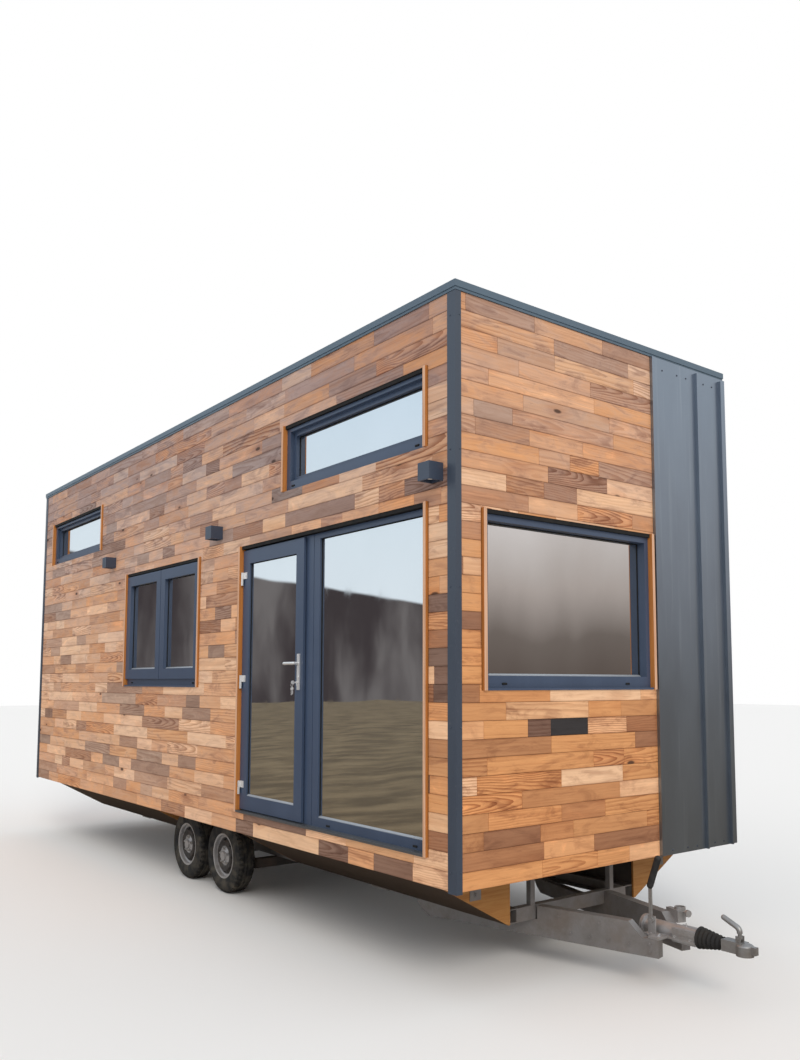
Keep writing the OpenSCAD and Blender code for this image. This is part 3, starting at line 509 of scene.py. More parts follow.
def lever_finish(name):
    """A galvanised lever whose upper part is a black rubber grip."""
    lever = Finish(name, Roughness=0.5)
    height = lever.part(lever.place(), "Z")
    grip = lever.ramp(height, Z_LOW - 0.0735, Z_LOW - 0.0715)
    cloud = lever.noise(lever.place(), 26.0, 5.0, 0.62, 0.4)
    ribs = lever.ramp(abs((height * 90) % 1 - 0.5), 0.18, 0.34)
    zinc = lever.stain((0.40, 0.40, 0.405, 1), cloud, 0.32, 0.72, 0.4, (0.50, 0.44, 0.38, 1))
    rubber = lever.mix(lever.ramp(cloud, 0.4, 0.75) * 0.3, (0.014, 0.014, 0.016, 1), (0.06, 0.055, 0.05, 1))
    lever.feed("Metallic", 0.7 * (1 - grip))
    body = lever.mix(grip, zinc, rubber)
    return lever.done(body, 0.42 + grip * 0.22 + cloud * 0.08, ribs * grip * 0.8 + cloud * 0.3, 0.4, 0.0015)


def make_materials():
    """All finishes by name."""
    tint = colours()
    coats = {
        "frames": ("anthracite_frame", tint.frame_colour, 0.34),
        "sheet": ("anthracite_sheet", tint.sheet_colour, 0.33, 0.008, 0.03, 0.92),
        "trims": ("anthracite_trim", tint.trim_colour, 0.36, 0.004),
        "roof edge": ("roof_edge_sheet", tint.edge_colour, 0.38, 0.004, 0.05),
        "lamp coat": ("lamp_coat", (0.036, 0.050, 0.080, 1), 0.34),
        "side sheet": ("dull_side_sheet", (0.058, 0.036, 0.024, 1), 0.66, 0.0, 0.22),
        "diffuser": ("lamp_diffuser", (0.62, 0.60, 0.55, 1), 0.4)}
    steels = {
        "galvanised": ("galvanised_steel", tint.galvanised, 0.48, 0.45, 0.35, 0.45),
        "dark steel": ("dark_steel", (0.060, 0.056, 0.054, 1), 0.6, 0.4, 0.3, 0.5),
        "cast": ("cast_steel", (0.44, 0.44, 0.45, 1), 0.44, 0.6, 0.4, 0.25),
        "coupling steel": ("coupling_steel", (0.32, 0.32, 0.325, 1), 0.40, 0.65, 0.5, 0.2),
        "bright steel": ("zinc_plated", (0.60, 0.60, 0.61, 1), 0.34, 0.85, 0.12),
        "satin steel": ("satin_steel", (0.80, 0.80, 0.81, 1), 0.30, 0.62, 0.05),
        "threshold": ("threshold_metal", (0.16, 0.165, 0.175, 1), 0.42, 0.7, 0.25),
        # The beads' pale colour is a painted reflection of the sky on their sloped tops
        "bead": ("glazing_bead", (0.36, 0.39, 0.43, 1), 0.35, 0.3, 0.1)}
    rubbers = {
        "tyre": ("tyre_rubber", 0.45),
        "bellows": ("bellows_rubber", 0.10),
        "felt": ("black_felt", 0.06, (0.010, 0.010, 0.011, 1)),
        "gap": ("gap_felt", 0.25, (0.045, 0.020, 0.010, 1))}
    for finish, table in ((coated_finish, coats), (steel_finish, steels), (rubber_finish, rubbers)):
        for key, settings in table.items():
            MATERIALS[key] = finish(*settings)
    MATERIALS.update({
        "side boards": boards_finish("larch_side", "X", False),
        "front boards": boards_finish("larch_front", "Y", True),
        "opening board": opening_board_finish("oiled_board"),
        "inner wood": plain_wood_finish("inner_boards", (0.36, 0.25, 0.16, 1), "X"),
        "plywood": plywood_finish("plywood"),
        "rim paint": rim_finish("rim_paint"),
        "lever": lever_finish("lever_with_grip"),
        "pane": pane_finish("coated_pane")})


# Mesh tools

def finished(bm, name, material, body="house", bevel=0.0, smooth=None):
    """Turns a bmesh into a piece that rides on a body."""
    mesh = bpy.data.meshes.new(name)
    bm.to_mesh(mesh)
    bm.free()
    piece = bpy.data.objects.new(name, mesh)
    bpy.context.scene.collection.objects.link(piece)
    mesh.materials.append(MATERIALS[material])
    if smooth:
        mesh.shade_smooth()
        mesh.set_sharp_from_angle(angle=math.radians(smooth))
    if bevel:
        rounding = piece.modifiers.new("Rounding", "BEVEL")
        rounding.width = bevel
        rounding.segments = 2
        rounding.limit_method = "ANGLE"
        rounding.harden_normals = True
    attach(piece, body)
    return piece


def block(bm, low, high):
    """Adds a box between two corners and returns its vertices."""
    low, high = Vector(low), Vector(high)
    size = high - low
    matrix = Matrix.Translation((low + high) / 2) @ Matrix.Diagonal((abs(size.x), abs(size.y), abs(size.z), 1))
    return bmesh.ops.create_cube(bm, size=1.0, matrix=matrix)["verts"]


def wall_block(bm, across, rect, near, far):
    """Adds a box in a wall: rect is its low and high end along the wall and in height."""
    low, high = Vector((0, 0, rect[1])), Vector((0, 0, rect[3]))
    low[across], high[across] = rect[0], rect[2]
    low[1 - across], high[1 - across] = near, far
    return block(bm, low, high)


def rod(bm, start, end, radius, segments=24, tip=None):
    """Adds a closed cylinder or cone from start to end."""
    start, end = Vector(start), Vector(end)
    line = end - start
    matrix = Matrix.Translation((start + end) / 2) @ line.to_track_quat("Z", "Y").to_matrix().to_4x4()
    return bmesh.ops.create_cone(
        bm, cap_ends=True, segments=segments, radius1=radius, radius2=radius if tip is None else tip,
        depth=line.length, matrix=matrix)["verts"]


# How deep a small part sits in the one that carries it
SEAT = 0.001


def bolt(bm, base, outward, radius, height):
    """Adds a hexagon bolt head on its washer."""
    base, outward = Vector(base), Vector(outward).normalized()
    washer, shoulder, top = (base + outward * height * share for share in (0.22, 0.9, 1))
    rod(bm, base - outward * SEAT, washer, radius * 1.7, 20)
    rod(bm, washer, shoulder, radius, 6)
    rod(bm, shoulder, top, radius, 6, radius * 0.82)


def screw(bm, base, outward, radius):
    """Adds a low domed screw head."""
    base, outward = Vector(base), Vector(outward).normalized()
    edge, top = (base + outward * radius * share for share in (0.35, 0.7))
    rod(bm, base - outward * SEAT, edge, radius, 14)
    rod(bm, edge, top, radius, 14, radius * 0.45)


def dress(key, *nodes):
    """Gives CAD nodes one of the finishes."""
    for node in nodes:
        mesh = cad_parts[node].data
        mesh.materials.clear()
        mesh.materials.append(MATERIALS[key])


# Boards

# A strip beside an opening that is thinner than this is left out
SLIVER = 0.002

# A rest at a course's end that is shorter than this joins the last board
SHORT_REST = 0.12

# Places along a course that are closer than this are one place, and faces closer than this touch
SAME_PLACE = 0.01
TOUCHING = 1e-5

# Above 1, short boards come up more often than long ones
SHORT_BIAS = 1.25

# Neighbours differ at least this much in tone, if one of so many draws does
TONE_STEP = 0.10
TONE_DRAWS = 4


def openings_of(nodes, across, side=0.0):
    """The openings' outlines from their frames' boxes, wider by side at each end."""
    found = []
    for node in nodes:
        low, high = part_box(node)
        found.append((low[across] - side, low.z, high[across] + side, high.z))
    return found


def cut_out(rect, hole):
    """The parts of a rectangle that lie outside a hole."""
    if rect[0] >= hole[2] or rect[2] <= hole[0] or rect[1] >= hole[3] or rect[3] <= hole[1]:
        return [rect]
    left, right = max(rect[0], hole[0]), min(rect[2], hole[2])
    parts = [
        (rect[0], rect[1], left, rect[3]), (right, rect[1], rect[2], rect[3]),
        (left, rect[1], right, hole[1]), (left, hole[3], right, rect[3])]
    return [p for p in parts if p[2] - p[0] > SLIVER and p[3] - p[1] > SLIVER]


def outside(rect, openings):
    """The parts of a rectangle that lie outside all openings."""
    parts = [rect]
    for hole in openings:
        parts = [p for q in parts for p in cut_out(q, hole)]
    return parts


def joined_faces(face):
    """All faces that are joined to a face."""
    found, edge = {face}, [face]
    while edge:
        for side in edge.pop().edges:
            for other in side.link_faces:
                if other not in found:
                    found.add(other)
                    edge.append(other)
    return found


def lay_board(bm, across, rect, near, far, openings, values):
    """Adds one board with eased front edges, cut round the openings."""
    size = sizes()
    for part in outside(rect, openings):
        verts = wall_block(bm, across, part, near, far)
        front = [v for v in verts if abs(v.co[1 - across] - near) < TOUCHING]
        rim = set()
        for edge in {e for v in front for e in v.link_edges if e.other_vert(v) in front}:
            ends = [v.co for v in edge.verts]
            if any(all(abs(end[axis] - place) < TOUCHING for end in ends)
                   for axis, place in ((across, rect[0]), (across, rect[2]), (2, rect[1]), (2, rect[3]))):
                rim.add(edge)
        face = verts[0].link_faces[0]
        if rim:
            made = bmesh.ops.bevel(
                bm, geom=list(rim), offset=size.board_edge, affect="EDGES", segments=1, profile=0.5, material=-1)
            face = made["faces"][0]
        for f in joined_faces(face):
            for layer, value in values.items():
                f[layer] = value


def lay_boards(bm, across, face, outward, low, high, openings, rng, tones, chosen=()):
    """Lays courses of boards of random lengths on a wall; chosen boards have their own place and tone."""
    size = sizes()
    tone, seed, middle, start = (bm.faces.layers.float.new(n) for n in ("tone", "seed", "middle", "start"))
    pitch = (Z_HIGH - Z_LOW) / size.courses
    half = size.board_gap / 2
    back = face - outward * size.board_t
    last = 0.5
    for course in range(size.courses):
        z0 = Z_LOW + course * pitch
        place = low - rng.uniform(0, size.board_short)
        while place < high - SAME_PLACE:
            end = place + size.board_short + (size.board_long - size.board_short) * rng.random() ** SHORT_BIAS
            if high - end < SHORT_REST:
                end = high
            for _ in range(TONE_DRAWS):
                value = tones(rng)
                if abs(value - last) > TONE_STEP:
                    break
            for row, first, stop, own in chosen:
                if row == course and abs(place - first) < SAME_PLACE:
                    end, value = stop, own
                elif row == course and place < first < end:
                    end = first
            a, b = max(place, low), min(end, high)
            place = end
            last = value
            lay_board(
                bm, across, (a + half, z0 + half, b - half, z0 + pitch - half), face, back, openings,
                {tone: value, seed: rng.random(), middle: z0 + pitch / 2, start: (a + b) / 2})


def side_tone(rng):
    """A board's tone on the door side: 0 is charred, 0.15 dark, 0.3 brown, 0.6 honey, 1 pale."""
    return 0.0 if rng.random() < 0.010 else min(1.0, max(0.08, rng.gauss(mu=0.55, sigma=0.29)))


def front_tone(rng):
    """A board's tone on the front and the rear."""
    return min(1.0, max(0.23, rng.gauss(mu=0.56, sigma=0.22)))


def wall_piece(bm, rect, openings, across, near, far):
    """Adds a wall slab as boxes round its openings."""
    for part in outside(rect, openings):
        wall_block(bm, across, part, near, far)


class HOUSE_OT_side_boards(bpy.types.Operator):
    """Clads the door side with boards on felt over a plain inner wall"""
    bl_idname = "house.side_boards"
    bl_label = "Door side boards"

    def execute(self, context):
        size = sizes()
        frames = ["door_frame", "high_window", "small_window", "kitchen_window"]
        openings = openings_of(frames, 0)
        bm = bmesh.new()
        lay_boards(
            bm, 0, Y_NEAR, -1, X_REAR, X_FRONT, openings_of(frames, 0, size.shadow_gap), random.Random(11), side_tone)
        finished(bm, "side_boards", "side boards")
        skin = Y_NEAR + size.board_t
        whole = (X_REAR, Z_LOW, X_FRONT, Z_HIGH)
        bm = bmesh.new()
        wall_piece(bm, whole, openings, 0, skin, skin + size.felt_t)
        finished(bm, "side_felt", "gap")
        bm = bmesh.new()
        walls = ("door_wall_rear", "door_wall_over_door", "door_wall_front", "door_wall_sill")
        for node in walls:
            low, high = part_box(node)
            wall_piece(bm, (low.x, low.z, high.x, high.z), openings, 0, skin + size.felt_t, high.y)
        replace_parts(finished(bm, "side_wall_core", "inner wood"), *walls)
        return {"FINISHED"}


class HOUSE_OT_end_boards(bpy.types.Operator):
    """Clads the front and the rear wall with boards beside the sheet metal"""
    bl_idname = "house.end_boards"
    bl_label = "End wall boards"

    def execute(self, context):
        size = sizes()
        # The dark pair under the front window: course, start, end and tone
        dark_pair = ((8, Y_NEAR + 0.531, Y_NEAR + 0.716, 0.16), (8, Y_NEAR + 0.716, Y_NEAR + 1.032, 0.0))
        for name, node, face, outward, metal, holes, seed, chosen in (
                ("front", "front_wall", X_FRONT, 1, "metal_front", ["front_window"], 23, dark_pair),
                ("rear", "rear_wall", X_REAR, -1, "metal_rear", [], 31, ())):
            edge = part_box(metal)[0].y
            low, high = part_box(node)
            skin = face - outward * size.board_t
            lining = skin - outward * size.felt_t
            inner = low.x if outward > 0 else high.x
            openings = openings_of(holes, 1)
            inside = Y_NEAR + size.board_t + size.felt_t
            bm = bmesh.new()
            lay_boards(
                bm, 1, face, outward, Y_NEAR, edge, openings_of(holes, 1, size.shadow_gap), random.Random(seed),
                front_tone, chosen)
            finished(bm, name + "_boards", "front boards")
            bm = bmesh.new()
            wall_piece(bm, (inside, Z_LOW, edge, Z_HIGH), openings, 1, skin, lining)
            finished(bm, name + "_felt", "gap")
            bm = bmesh.new()
            wall_piece(bm, (inside, low.z, edge, high.z), openings, 1, lining, inner)
            wall_piece(bm, (edge, low.z, high.y, high.z), openings, 1, face, inner)
            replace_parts(finished(bm, name + "_wall_core", "inner wood"), node)
        return {"FINISHED"}


class HOUSE_OT_sheet_metal(bpy.types.Operator):
    """Finishes the sheet metal, the roof's edge and the corner trims, and sets their screws"""
    bl_idname = "house.sheet_metal"
    bl_label = "Sheet metal"

    def execute(self, context):
        dress("sheet", "metal_front", "metal_far", "metal_rear", "roof_sheet")
        dress("roof edge", "roof_edge")
        dress("trims", "corner_trims")
        dress("felt", "head_strips")
        dress("inner wood", "roof", "floor", "far_wall")
        bm = bmesh.new()
        # Rows of screws at the sheets' lower and upper ends
        screw_r, count, pitch = 0.006, 32, 0.2335
        for w in (0.028, 3.16):
            for v in (1.80, 1.96, 2.06, 2.26, 2.36, 2.46):
                screw(bm, at(-SHEET_OUT, v, w), (1, 0, 0), screw_r)
                screw(bm, at(BODY_L + SHEET_OUT, v, w), (-1, 0, 0), screw_r)
            for i in range(count):
                screw(bm, at(0.08 + i * pitch, BODY_W + SHEET_OUT, w), (0, 1, 0), screw_r)
        # Screws down the corner trims
        trim_out, trim_screw_r = 0.004, 0.005
        for w in (0.10, 0.85, 1.60, 2.35, 3.10):
            screw(bm, at(0.040, -trim_out, w), (0, -1, 0), trim_screw_r)
            screw(bm, at(-trim_out, 0.028, w), (1, 0, 0), trim_screw_r)
            screw(bm, at(BODY_L - 0.040, -trim_out, w), (0, -1, 0), trim_screw_r)
        finished(bm, "sheet_screws", "trims", smooth=40)
        return {"FINISHED"}


# Doors and windows

# How deep the panes lie, and the frame's bars beside, below and above a pane
GLASS_IN = 0.080
UPPER_BARS = (0.099, 0.096, 0.078)
FRONT_BARS = (0.060, 0.080, 0.060)
FAR_WINDOW_L = 1.610

# The casements' panes lie further out. Their bars: at the ends, from the middle, below and above
CASEMENT_IN = 0.038
CASEMENT_BARS = (0.112, 0.092, 0.156, 0.120)

# How far gaskets, beads and drain caps stand out, and how far a bead slopes down of its height
GASKET_OUT = 0.004
BEAD_OUT = 0.012
BEAD_SLOPE = 0.72
CAP_OUT = 0.006


def pane_places():
    """The panes: across axis, glass face, outward side, outline along the wall and in height, body."""
    places = []
    for node, across, face, outward, (side, below, above) in (
            ("high_window", 0, Y_NEAR, -1, UPPER_BARS), ("small_window", 0, Y_NEAR, -1, UPPER_BARS),
            ("front_window", 1, X_FRONT, 1, FRONT_BARS)):
        low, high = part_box(node)
        places.append((across, face - outward * GLASS_IN, outward, (
            low[across] + side, low.z + below, high[across] - side, high.z - above), "house"))
    low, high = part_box("kitchen_window")
    middle = (low.x + high.x) / 2
    side, inner, below, above = CASEMENT_BARS
    for a, b in ((low.x + side, middle - inner), (middle + inner, high.x - side)):
        places.append((0, Y_NEAR + CASEMENT_IN, -1, (a, low.z + below, b, high.z - above), "house"))
    for node, body in (("door_glass", "door"), ("side_light_glass", "house")):
        low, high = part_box(node)
        places.append((0, low.y, -1, (low.x, low.z, high.x, high.z), body))
    low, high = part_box("far_windows")
    side, below, above = UPPER_BARS
    for a in (low.x, high.x - FAR_WINDOW_L):
        places.append((0, Y_FAR - GLASS_IN, 1, (
            a + side, low.z + below, a + FAR_WINDOW_L - side, high.z - above), "house"))
    return places


class HOUSE_OT_openings(bpy.types.Operator):
    """Finishes the door, the windows and the boards beside them"""
    bl_idname = "house.openings"
    bl_label = "Door and windows"

    def execute(self, context):
        dress("frames", "door_frame", "door_leaf", "high_window", "small_window", "kitchen_window", "front_window",
              "far_windows")
        dress("pane", "door_glass", "side_light_glass", "window_glass")
        dress("satin steel", "door_hinges", "hinge_brackets", "handle_plate", "door_lever")
        dress("threshold", "door_threshold")
        dress("opening board", "opening_boards")
        return {"FINISHED"}


class HOUSE_OT_glazing(bpy.types.Operator):
    """Adds the gaskets and the beads round the panes and the drain caps under them"""
    bl_idname = "house.glazing"
    bl_label = "Gaskets, beads and drain caps"

    def execute(self, context):
        size = sizes()
        rubber = {"house": bmesh.new(), "door": bmesh.new()}
        beads = {"house": bmesh.new(), "door": bmesh.new()}
        for across, glass, outward, (a, low, b, high), body in pane_places():
            front, thin = glass + outward * GASKET_OUT, size.gasket
            for rect in ((a, low, a + thin, high), (b - thin, low, b, high), (a + thin, high - thin, b - thin, high)):
                wall_block(rubber[body], across, rect, front, glass)
            verts = wall_block(beads[body], across, (a, low, b, low + size.bead), glass + outward * BEAD_OUT, glass)
            for v in verts:
                if v.co.z > low + size.bead / 2 and abs(v.co[1 - across] - glass) > BEAD_OUT / 2:
                    v.co.z -= size.bead * BEAD_SLOPE
        for body in ("house", "door"):
            finished(rubber[body], "gaskets_" + body, "felt", body)
            # The beads' pale finish paints the sky's reflection on their sloped tops
            finished(beads[body], "beads_" + body, "bead", body, 0.0008)

        # Drain caps in the lower bars: how deep the bar lies, the caps' height and their shares of its length
        caps, half_l, half_h = bmesh.new(), 0.019, 0.006
        for node, across, face, outward, depth, height, shares in (
                ("high_window", 0, Y_NEAR, -1, 0.020, 0.030, (0.07, 0.93)),
                ("small_window", 0, Y_NEAR, -1, 0.020, 0.030, (0.07, 0.93)),
                ("front_window", 1, X_FRONT, 1, 0.020, 0.036, (0.12, 0.83)),
                ("kitchen_window", 0, Y_NEAR, -1, 0.025, 0.034, (0.09, 0.91)),
                ("door_frame", 0, Y_NEAR, -1, 0.040, 0.034, (0.53, 0.93))):
            low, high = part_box(node)
            bar, z = face - outward * depth, low.z + height
            for share in shares:
                middle = low[across] + (high[across] - low[across]) * share
                wall_block(
                    caps, across, (middle - half_l, z - half_h, middle + half_l, z + half_h),
                    bar + outward * CAP_OUT, bar - outward * SEAT)
        finished(caps, "drain_caps", "felt", bevel=0.003)
        return {"FINISHED"}


class HOUSE_OT_door_lock(bpy.types.Operator):
    """Adds the lock cylinder with its keys under the door's lever"""
    bl_idname = "house.door_lock"
    bl_label = "Lock and keys"

    def execute(self, context):
        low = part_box("handle_plate")[0]
        bm = bmesh.new()
        lock = Vector((centre_of("handle_plate").x, low.y, low.z + 0.050))
        # The cylinder: a round core and the web under it
        core_r, core_out, half_web = 0.0085, 0.006, 0.005
        rod(bm, lock + Vector((0, SEAT, 0)), lock - Vector((0, core_out, 0)), core_r, 20)
        block(bm, lock + Vector((-half_web, -half_web, -0.022)), lock + Vector((half_web, SEAT, -0.004)))
        # The key in it: its blade and its round bow
        half_t, half_blade, bow_r = 0.0012, 0.005, 0.0125
        block(bm, lock + Vector((-half_t, -0.026, -half_blade)), lock + Vector((half_t, -half_web, half_blade)))
        bow = lock - Vector((0, 0.034, 0))
        rod(bm, bow - Vector((half_t, 0, 0)), bow + Vector((half_t, 0, 0)), bow_r, 24)
        # The ring through the bow, made of short rods
        ring, ring_r, wire_r, turns = bow + Vector((0, -0.006, -0.016)), 0.013, 0.0011, 20
        for i in range(turns):
            a, b = (2 * math.pi * k / turns for k in (i, i + 1))
            rod(bm, ring + Vector((math.cos(a), 0, math.sin(a))) * ring_r,
                ring + Vector((math.cos(b), 0, math.sin(b))) * ring_r, wire_r, 8)
        # Two spare keys that hang on the ring
        half_t, half_blade, bow_r = 0.001, 0.0035, 0.010
        for lean, drop in ((0.010, 0.030), (-0.007, 0.034)):
            spare = ring + Vector((lean, 0, -0.012 - drop * 0.4))
            rod(bm, spare - Vector((0, half_t, 0)), spare + Vector((0, half_t, 0)), bow_r, 20)
            block(bm, spare + Vector((-half_blade, -half_t, -drop - 0.008)),
                  spare + Vector((half_blade, half_t, -0.007)))
        finished(bm, "lock_and_keys", "satin steel", "door", 0.0004, smooth=35)
        return {"FINISHED"}


# How far behind the front each wall lamp starts
LAMPS_U = (0.104, 2.768, 5.058)


class HOUSE_OT_lamps(bpy.types.Operator):
    """Finishes the wall lamps and sets a diffuser into each end"""
    bl_idname = "house.lamps"
    bl_label = "Wall lamps"

    def execute(self, context):
        dress("lamp coat", "wall_lamps")
        low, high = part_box("wall_lamps")
        bm = bmesh.new()
        # Half of a lamp's width, the recess in its ends, and in it a diffuser's rim and dome
        half, recess, rim_r, rim_t, dome_r, dome_top_r = 0.050, 0.024, 0.036, 0.006, 0.026, 0.018
        for u in LAMPS_U:
            base = at(u + half, -half, 0)
            for z, up in ((low.z + recess, -1), (high.z - recess, 1)):
                base.z = z
                rim = base + Vector((0, 0, up * rim_t))
                rod(bm, base, rim, rim_r, 28)
                rod(bm, rim, base + Vector((0, 0, up * rim_t * 2)), dome_r, 28, dome_top_r)
        finished(bm, "lamp_diffusers", "diffuser", smooth=35)
        return {"FINISHED"}


# Chassis, wheels and coupling

# A chassis bolt's radius and height
BOLT_R = 0.008
BOLT_H = 0.009

# Bolts of a drawbar beam: how far in front of the body, and the height above the cladding's edge
BEAM_BOLTS = ((-0.10, -0.375), (0.02, -0.375), (0.14, -0.375), (0.26, -0.375), (0.385, -0.355), (0.385, -0.400),
              (-0.18, -0.290), (0.08, -0.290))

# Bolts along the rails: how far behind the front, how far inward from the door side, and the way they face
RAIL_BOLTS_U = (0.36, 0.9, 1.5, 2.1, 5.0, 5.6, 6.2, 6.8)
RAIL_BOLTS_V = ((0.670, -1), (1.830, 1))


class HOUSE_OT_chassis(bpy.types.Operator):
    """Finishes the chassis, the side sheets and the drawbar, with their bolts and plates"""
    bl_idname = "house.chassis"
    bl_label = "Chassis"

    def execute(self, context):
        dress("galvanised", "chassis_rails", "cross_members", "front_posts", "drawbar_beams")
        dress("dark steel", "floor_bearers", "axles")
        dress("cast", "jockey_clamp")
        dress("side sheet", "side_sheets")
        dress("plywood", "gussets")
        bolts, plates = bmesh.new(), bmesh.new()
        # A plate with a bolt on each gusset's front
        front, plate_t, half_plate, gusset_in = X_FRONT - 0.315, 0.004, 0.042, 0.41
        for y in (Y_NEAR + gusset_in, Y_FAR - gusset_in):
            block(plates, (front - 0.0005, y - half_plate, Z_LOW - 0.150),
                  (front + plate_t, y + half_plate, Z_LOW - 0.086))
            bolt(bolts, (front + plate_t, y, Z_LOW - 0.118), (1, 0, 0), BOLT_R, 0.010)
        for far in (False, True):
            for along, z in BEAM_BOLTS:
                base = on_beam(along, 0, z, far)
                bolt(bolts, base, on_beam(along, 0.1, z, far) - base, BOLT_R, BOLT_H)
        for u in RAIL_BOLTS_U:
            for v, way in RAIL_BOLTS_V:
                bolt(bolts, at(u, v, -0.288), (0, way, 0), BOLT_R, BOLT_H)
        finished(bolts, "chassis_bolts", "galvanised", smooth=30)
        finished(plates, "gusset_plates", "galvanised", bevel=0.001)
        return {"FINISHED"}


# Steps round a tyre: a tread block and a gap take one each
TREAD_STEPS = 88


def tyre_piece(node, body):
    """A tyre with grooves and tread blocks, spun about its axle."""
    low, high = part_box(node)
    outer, half = (high.x - low.x) / 2, (high.y - low.y) / 2
    # A half's cross-section from the bead to the shoulder, as radius and place across, and three grooves
    side = [(0.176, half - 0.012), (0.190, half - 0.006), (0.205, half - 0.002), (0.221, half - 0.0005),
            (0.236, half - 0.0015), (outer - 0.040, half - 0.004), (outer - 0.026, half - 0.009),
            (outer - 0.012, half - 0.017), (outer - 0.004, half - 0.026), (outer, half - 0.035)]
    tread, floor, half_top, half_floor = [], outer - 0.007, 0.0045, 0.003
    for groove in (0.030, 0.0, -0.030):
        tread += [(outer, groove + half_top), (floor, groove + half_floor),
                  (floor, groove - half_floor), (outer, groove - half_top)]
    profile = side + tread + [(r, -y) for r, y in reversed(side)]
    bm = bmesh.new()
    ring = [bm.verts.new((r, y, 0)) for r, y in profile]
    edges = [bm.edges.new(pair) for pair in zip(ring, ring[1:] + ring[:1])]
    bmesh.ops.spin(bm, geom=ring + edges, cent=(0, 0, 0), axis=(0, 1, 0), angle=2 * math.pi, steps=TREAD_STEPS,
                   use_merge=True)
    bmesh.ops.remove_doubles(bm, verts=bm.verts, dist=1e-5)
    bm.normal_update()
    # A notch in every second step of the two shoulders leaves the tread blocks
    blocks = []
    for f in bm.faces:
        middle = f.calc_center_median()
        step = math.degrees(math.atan2(middle.z, middle.x)) * TREAD_STEPS / 360
        reach = math.hypot(middle.x, middle.z)
        if reach > outer - 0.013 and 0.034 < abs(middle.y) < half - 0.018 and step % 2 < 1:
            blocks.append(f)
    bmesh.ops.inset_individual(bm, faces=blocks, thickness=0.0025, depth=-0.005)
    bmesh.ops.recalc_face_normals(bm, faces=bm.faces)
    bmesh.ops.translate(bm, verts=bm.verts, vec=centre_of(node))
    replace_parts(finished(bm, node + "_tread", "tyre", body, smooth=32), node)


class HOUSE_OT_wheels(bpy.types.Operator):
    """Makes the tyres and sets the wheel bolts and the valves"""
    bl_idname = "house.wheels"
    bl_label = "Wheels"

    def execute(self, context):
        bolt_circle, count, first_turn = 0.056, 5, 18
        for place in WHEELS:
            body = "wheel_" + place
            tyre_piece("tyre_" + place, body)
            dress("rim paint", "rim_" + place)
            low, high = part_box("tyre_" + place)
            hub = (low + high) / 2
            way = -1 if hub.y < Y_MID else 1
            hub.y = low.y if way < 0 else high.y
            bm = bmesh.new()
            for i in range(count):
                turn = math.radians(360 / count * i + first_turn)
                base = hub + Vector((bolt_circle * math.cos(turn), -way * 0.027, bolt_circle * math.sin(turn)))
                bolt(bm, base, (0, way, 0), 0.0095, 0.017)
            valve = [hub + Vector(end) for end in ((-0.118, -way * 0.036, 0.085), (-0.112, -way * 0.008, 0.081))]
            rod(bm, *valve, 0.0045, 12)
            finished(bm, "bolts_" + place, "bright steel", body, smooth=30)
        return {"FINISHED"}


class HOUSE_OT_coupling(bpy.types.Operator):
    """Finishes the coupling, its grip and the handbrake lever, with their bolts"""
    bl_idname = "house.coupling"
    bl_label = "Coupling"

    def execute(self, context):
        dress("cast", "overrun_housing", "brake_bracket")
        dress("coupling steel", "coupling_handle", "coupling_head")
        dress("bellows", "bellows")
        dress("lever", "handbrake_lever")
        bm = bmesh.new()
        middle = BODY_W / 2
        foot_top, half_housing = FOOT_W + 0.012, 0.055
        for way in (1, -1):
            # Down through the housing's foot, then into its sides
            for x, out in ((0.315, 0.0675), (0.385, 0.0945)):
                bolt(bm, at(-x, middle + way * out, foot_top), (0, 0, 1), 0.009, 0.011)
            for x in (0.46, 0.56):
                bolt(bm, at(-x, middle + way * half_housing, SHAFT_W - 0.020), (0, way, 0), BOLT_R, BOLT_H)
        # The grease nipple on top of the housing
        nipple = [at(-0.50, middle, SHAFT_W + rise) for rise in (0.038, 0.052, 0.060)]
        rod(bm, nipple[0], nipple[1], 0.0045, 12)
        rod(bm, nipple[1], nipple[2], 0.0035, 12, 0.002)
        finished(bm, "coupling_bolts", "bright steel", smooth=30)
        return {"FINISHED"}


# Stage

# Half of the floor's length, and where the camera stands, as at() takes it
FLOOR_HALF = 60
STAND = (-3.687, -3.168, 1.092)


def studio_floor(scene):
    """A pale floor, which glass and metal mirror in a darker tone."""
    bm = bmesh.new()
    bmesh.ops.create_grid(bm, x_segments=2, y_segments=2, size=FLOOR_HALF)
    mesh = bpy.data.meshes.new("studio_floor")
    bm.to_mesh(mesh)
    bm.free()
    ground = bpy.data.objects.new("studio_floor", mesh)
    scene.collection.objects.link(ground)
    paint = Finish("studio_floor", Roughness=0.9, Specular_IOR_Level=0.1)
    mirrored = paint.node("ShaderNodeLightPath", {}, {}, "Is Glossy Ray")
    ground_tone = paint.mix(
        paint.ramp(paint.noise(paint.place((1, 0.4, 1)), 1.6, 5.0, 0.6), 0.36, 0.66),
        (0.125, 0.092, 0.056, 1), (0.240, 0.180, 0.108, 1))
    paint.feed("Base Color", paint.mix(mirrored, (0.88, 0.88, 0.88, 1), ground_tone))
    mesh.materials.append(paint.material)


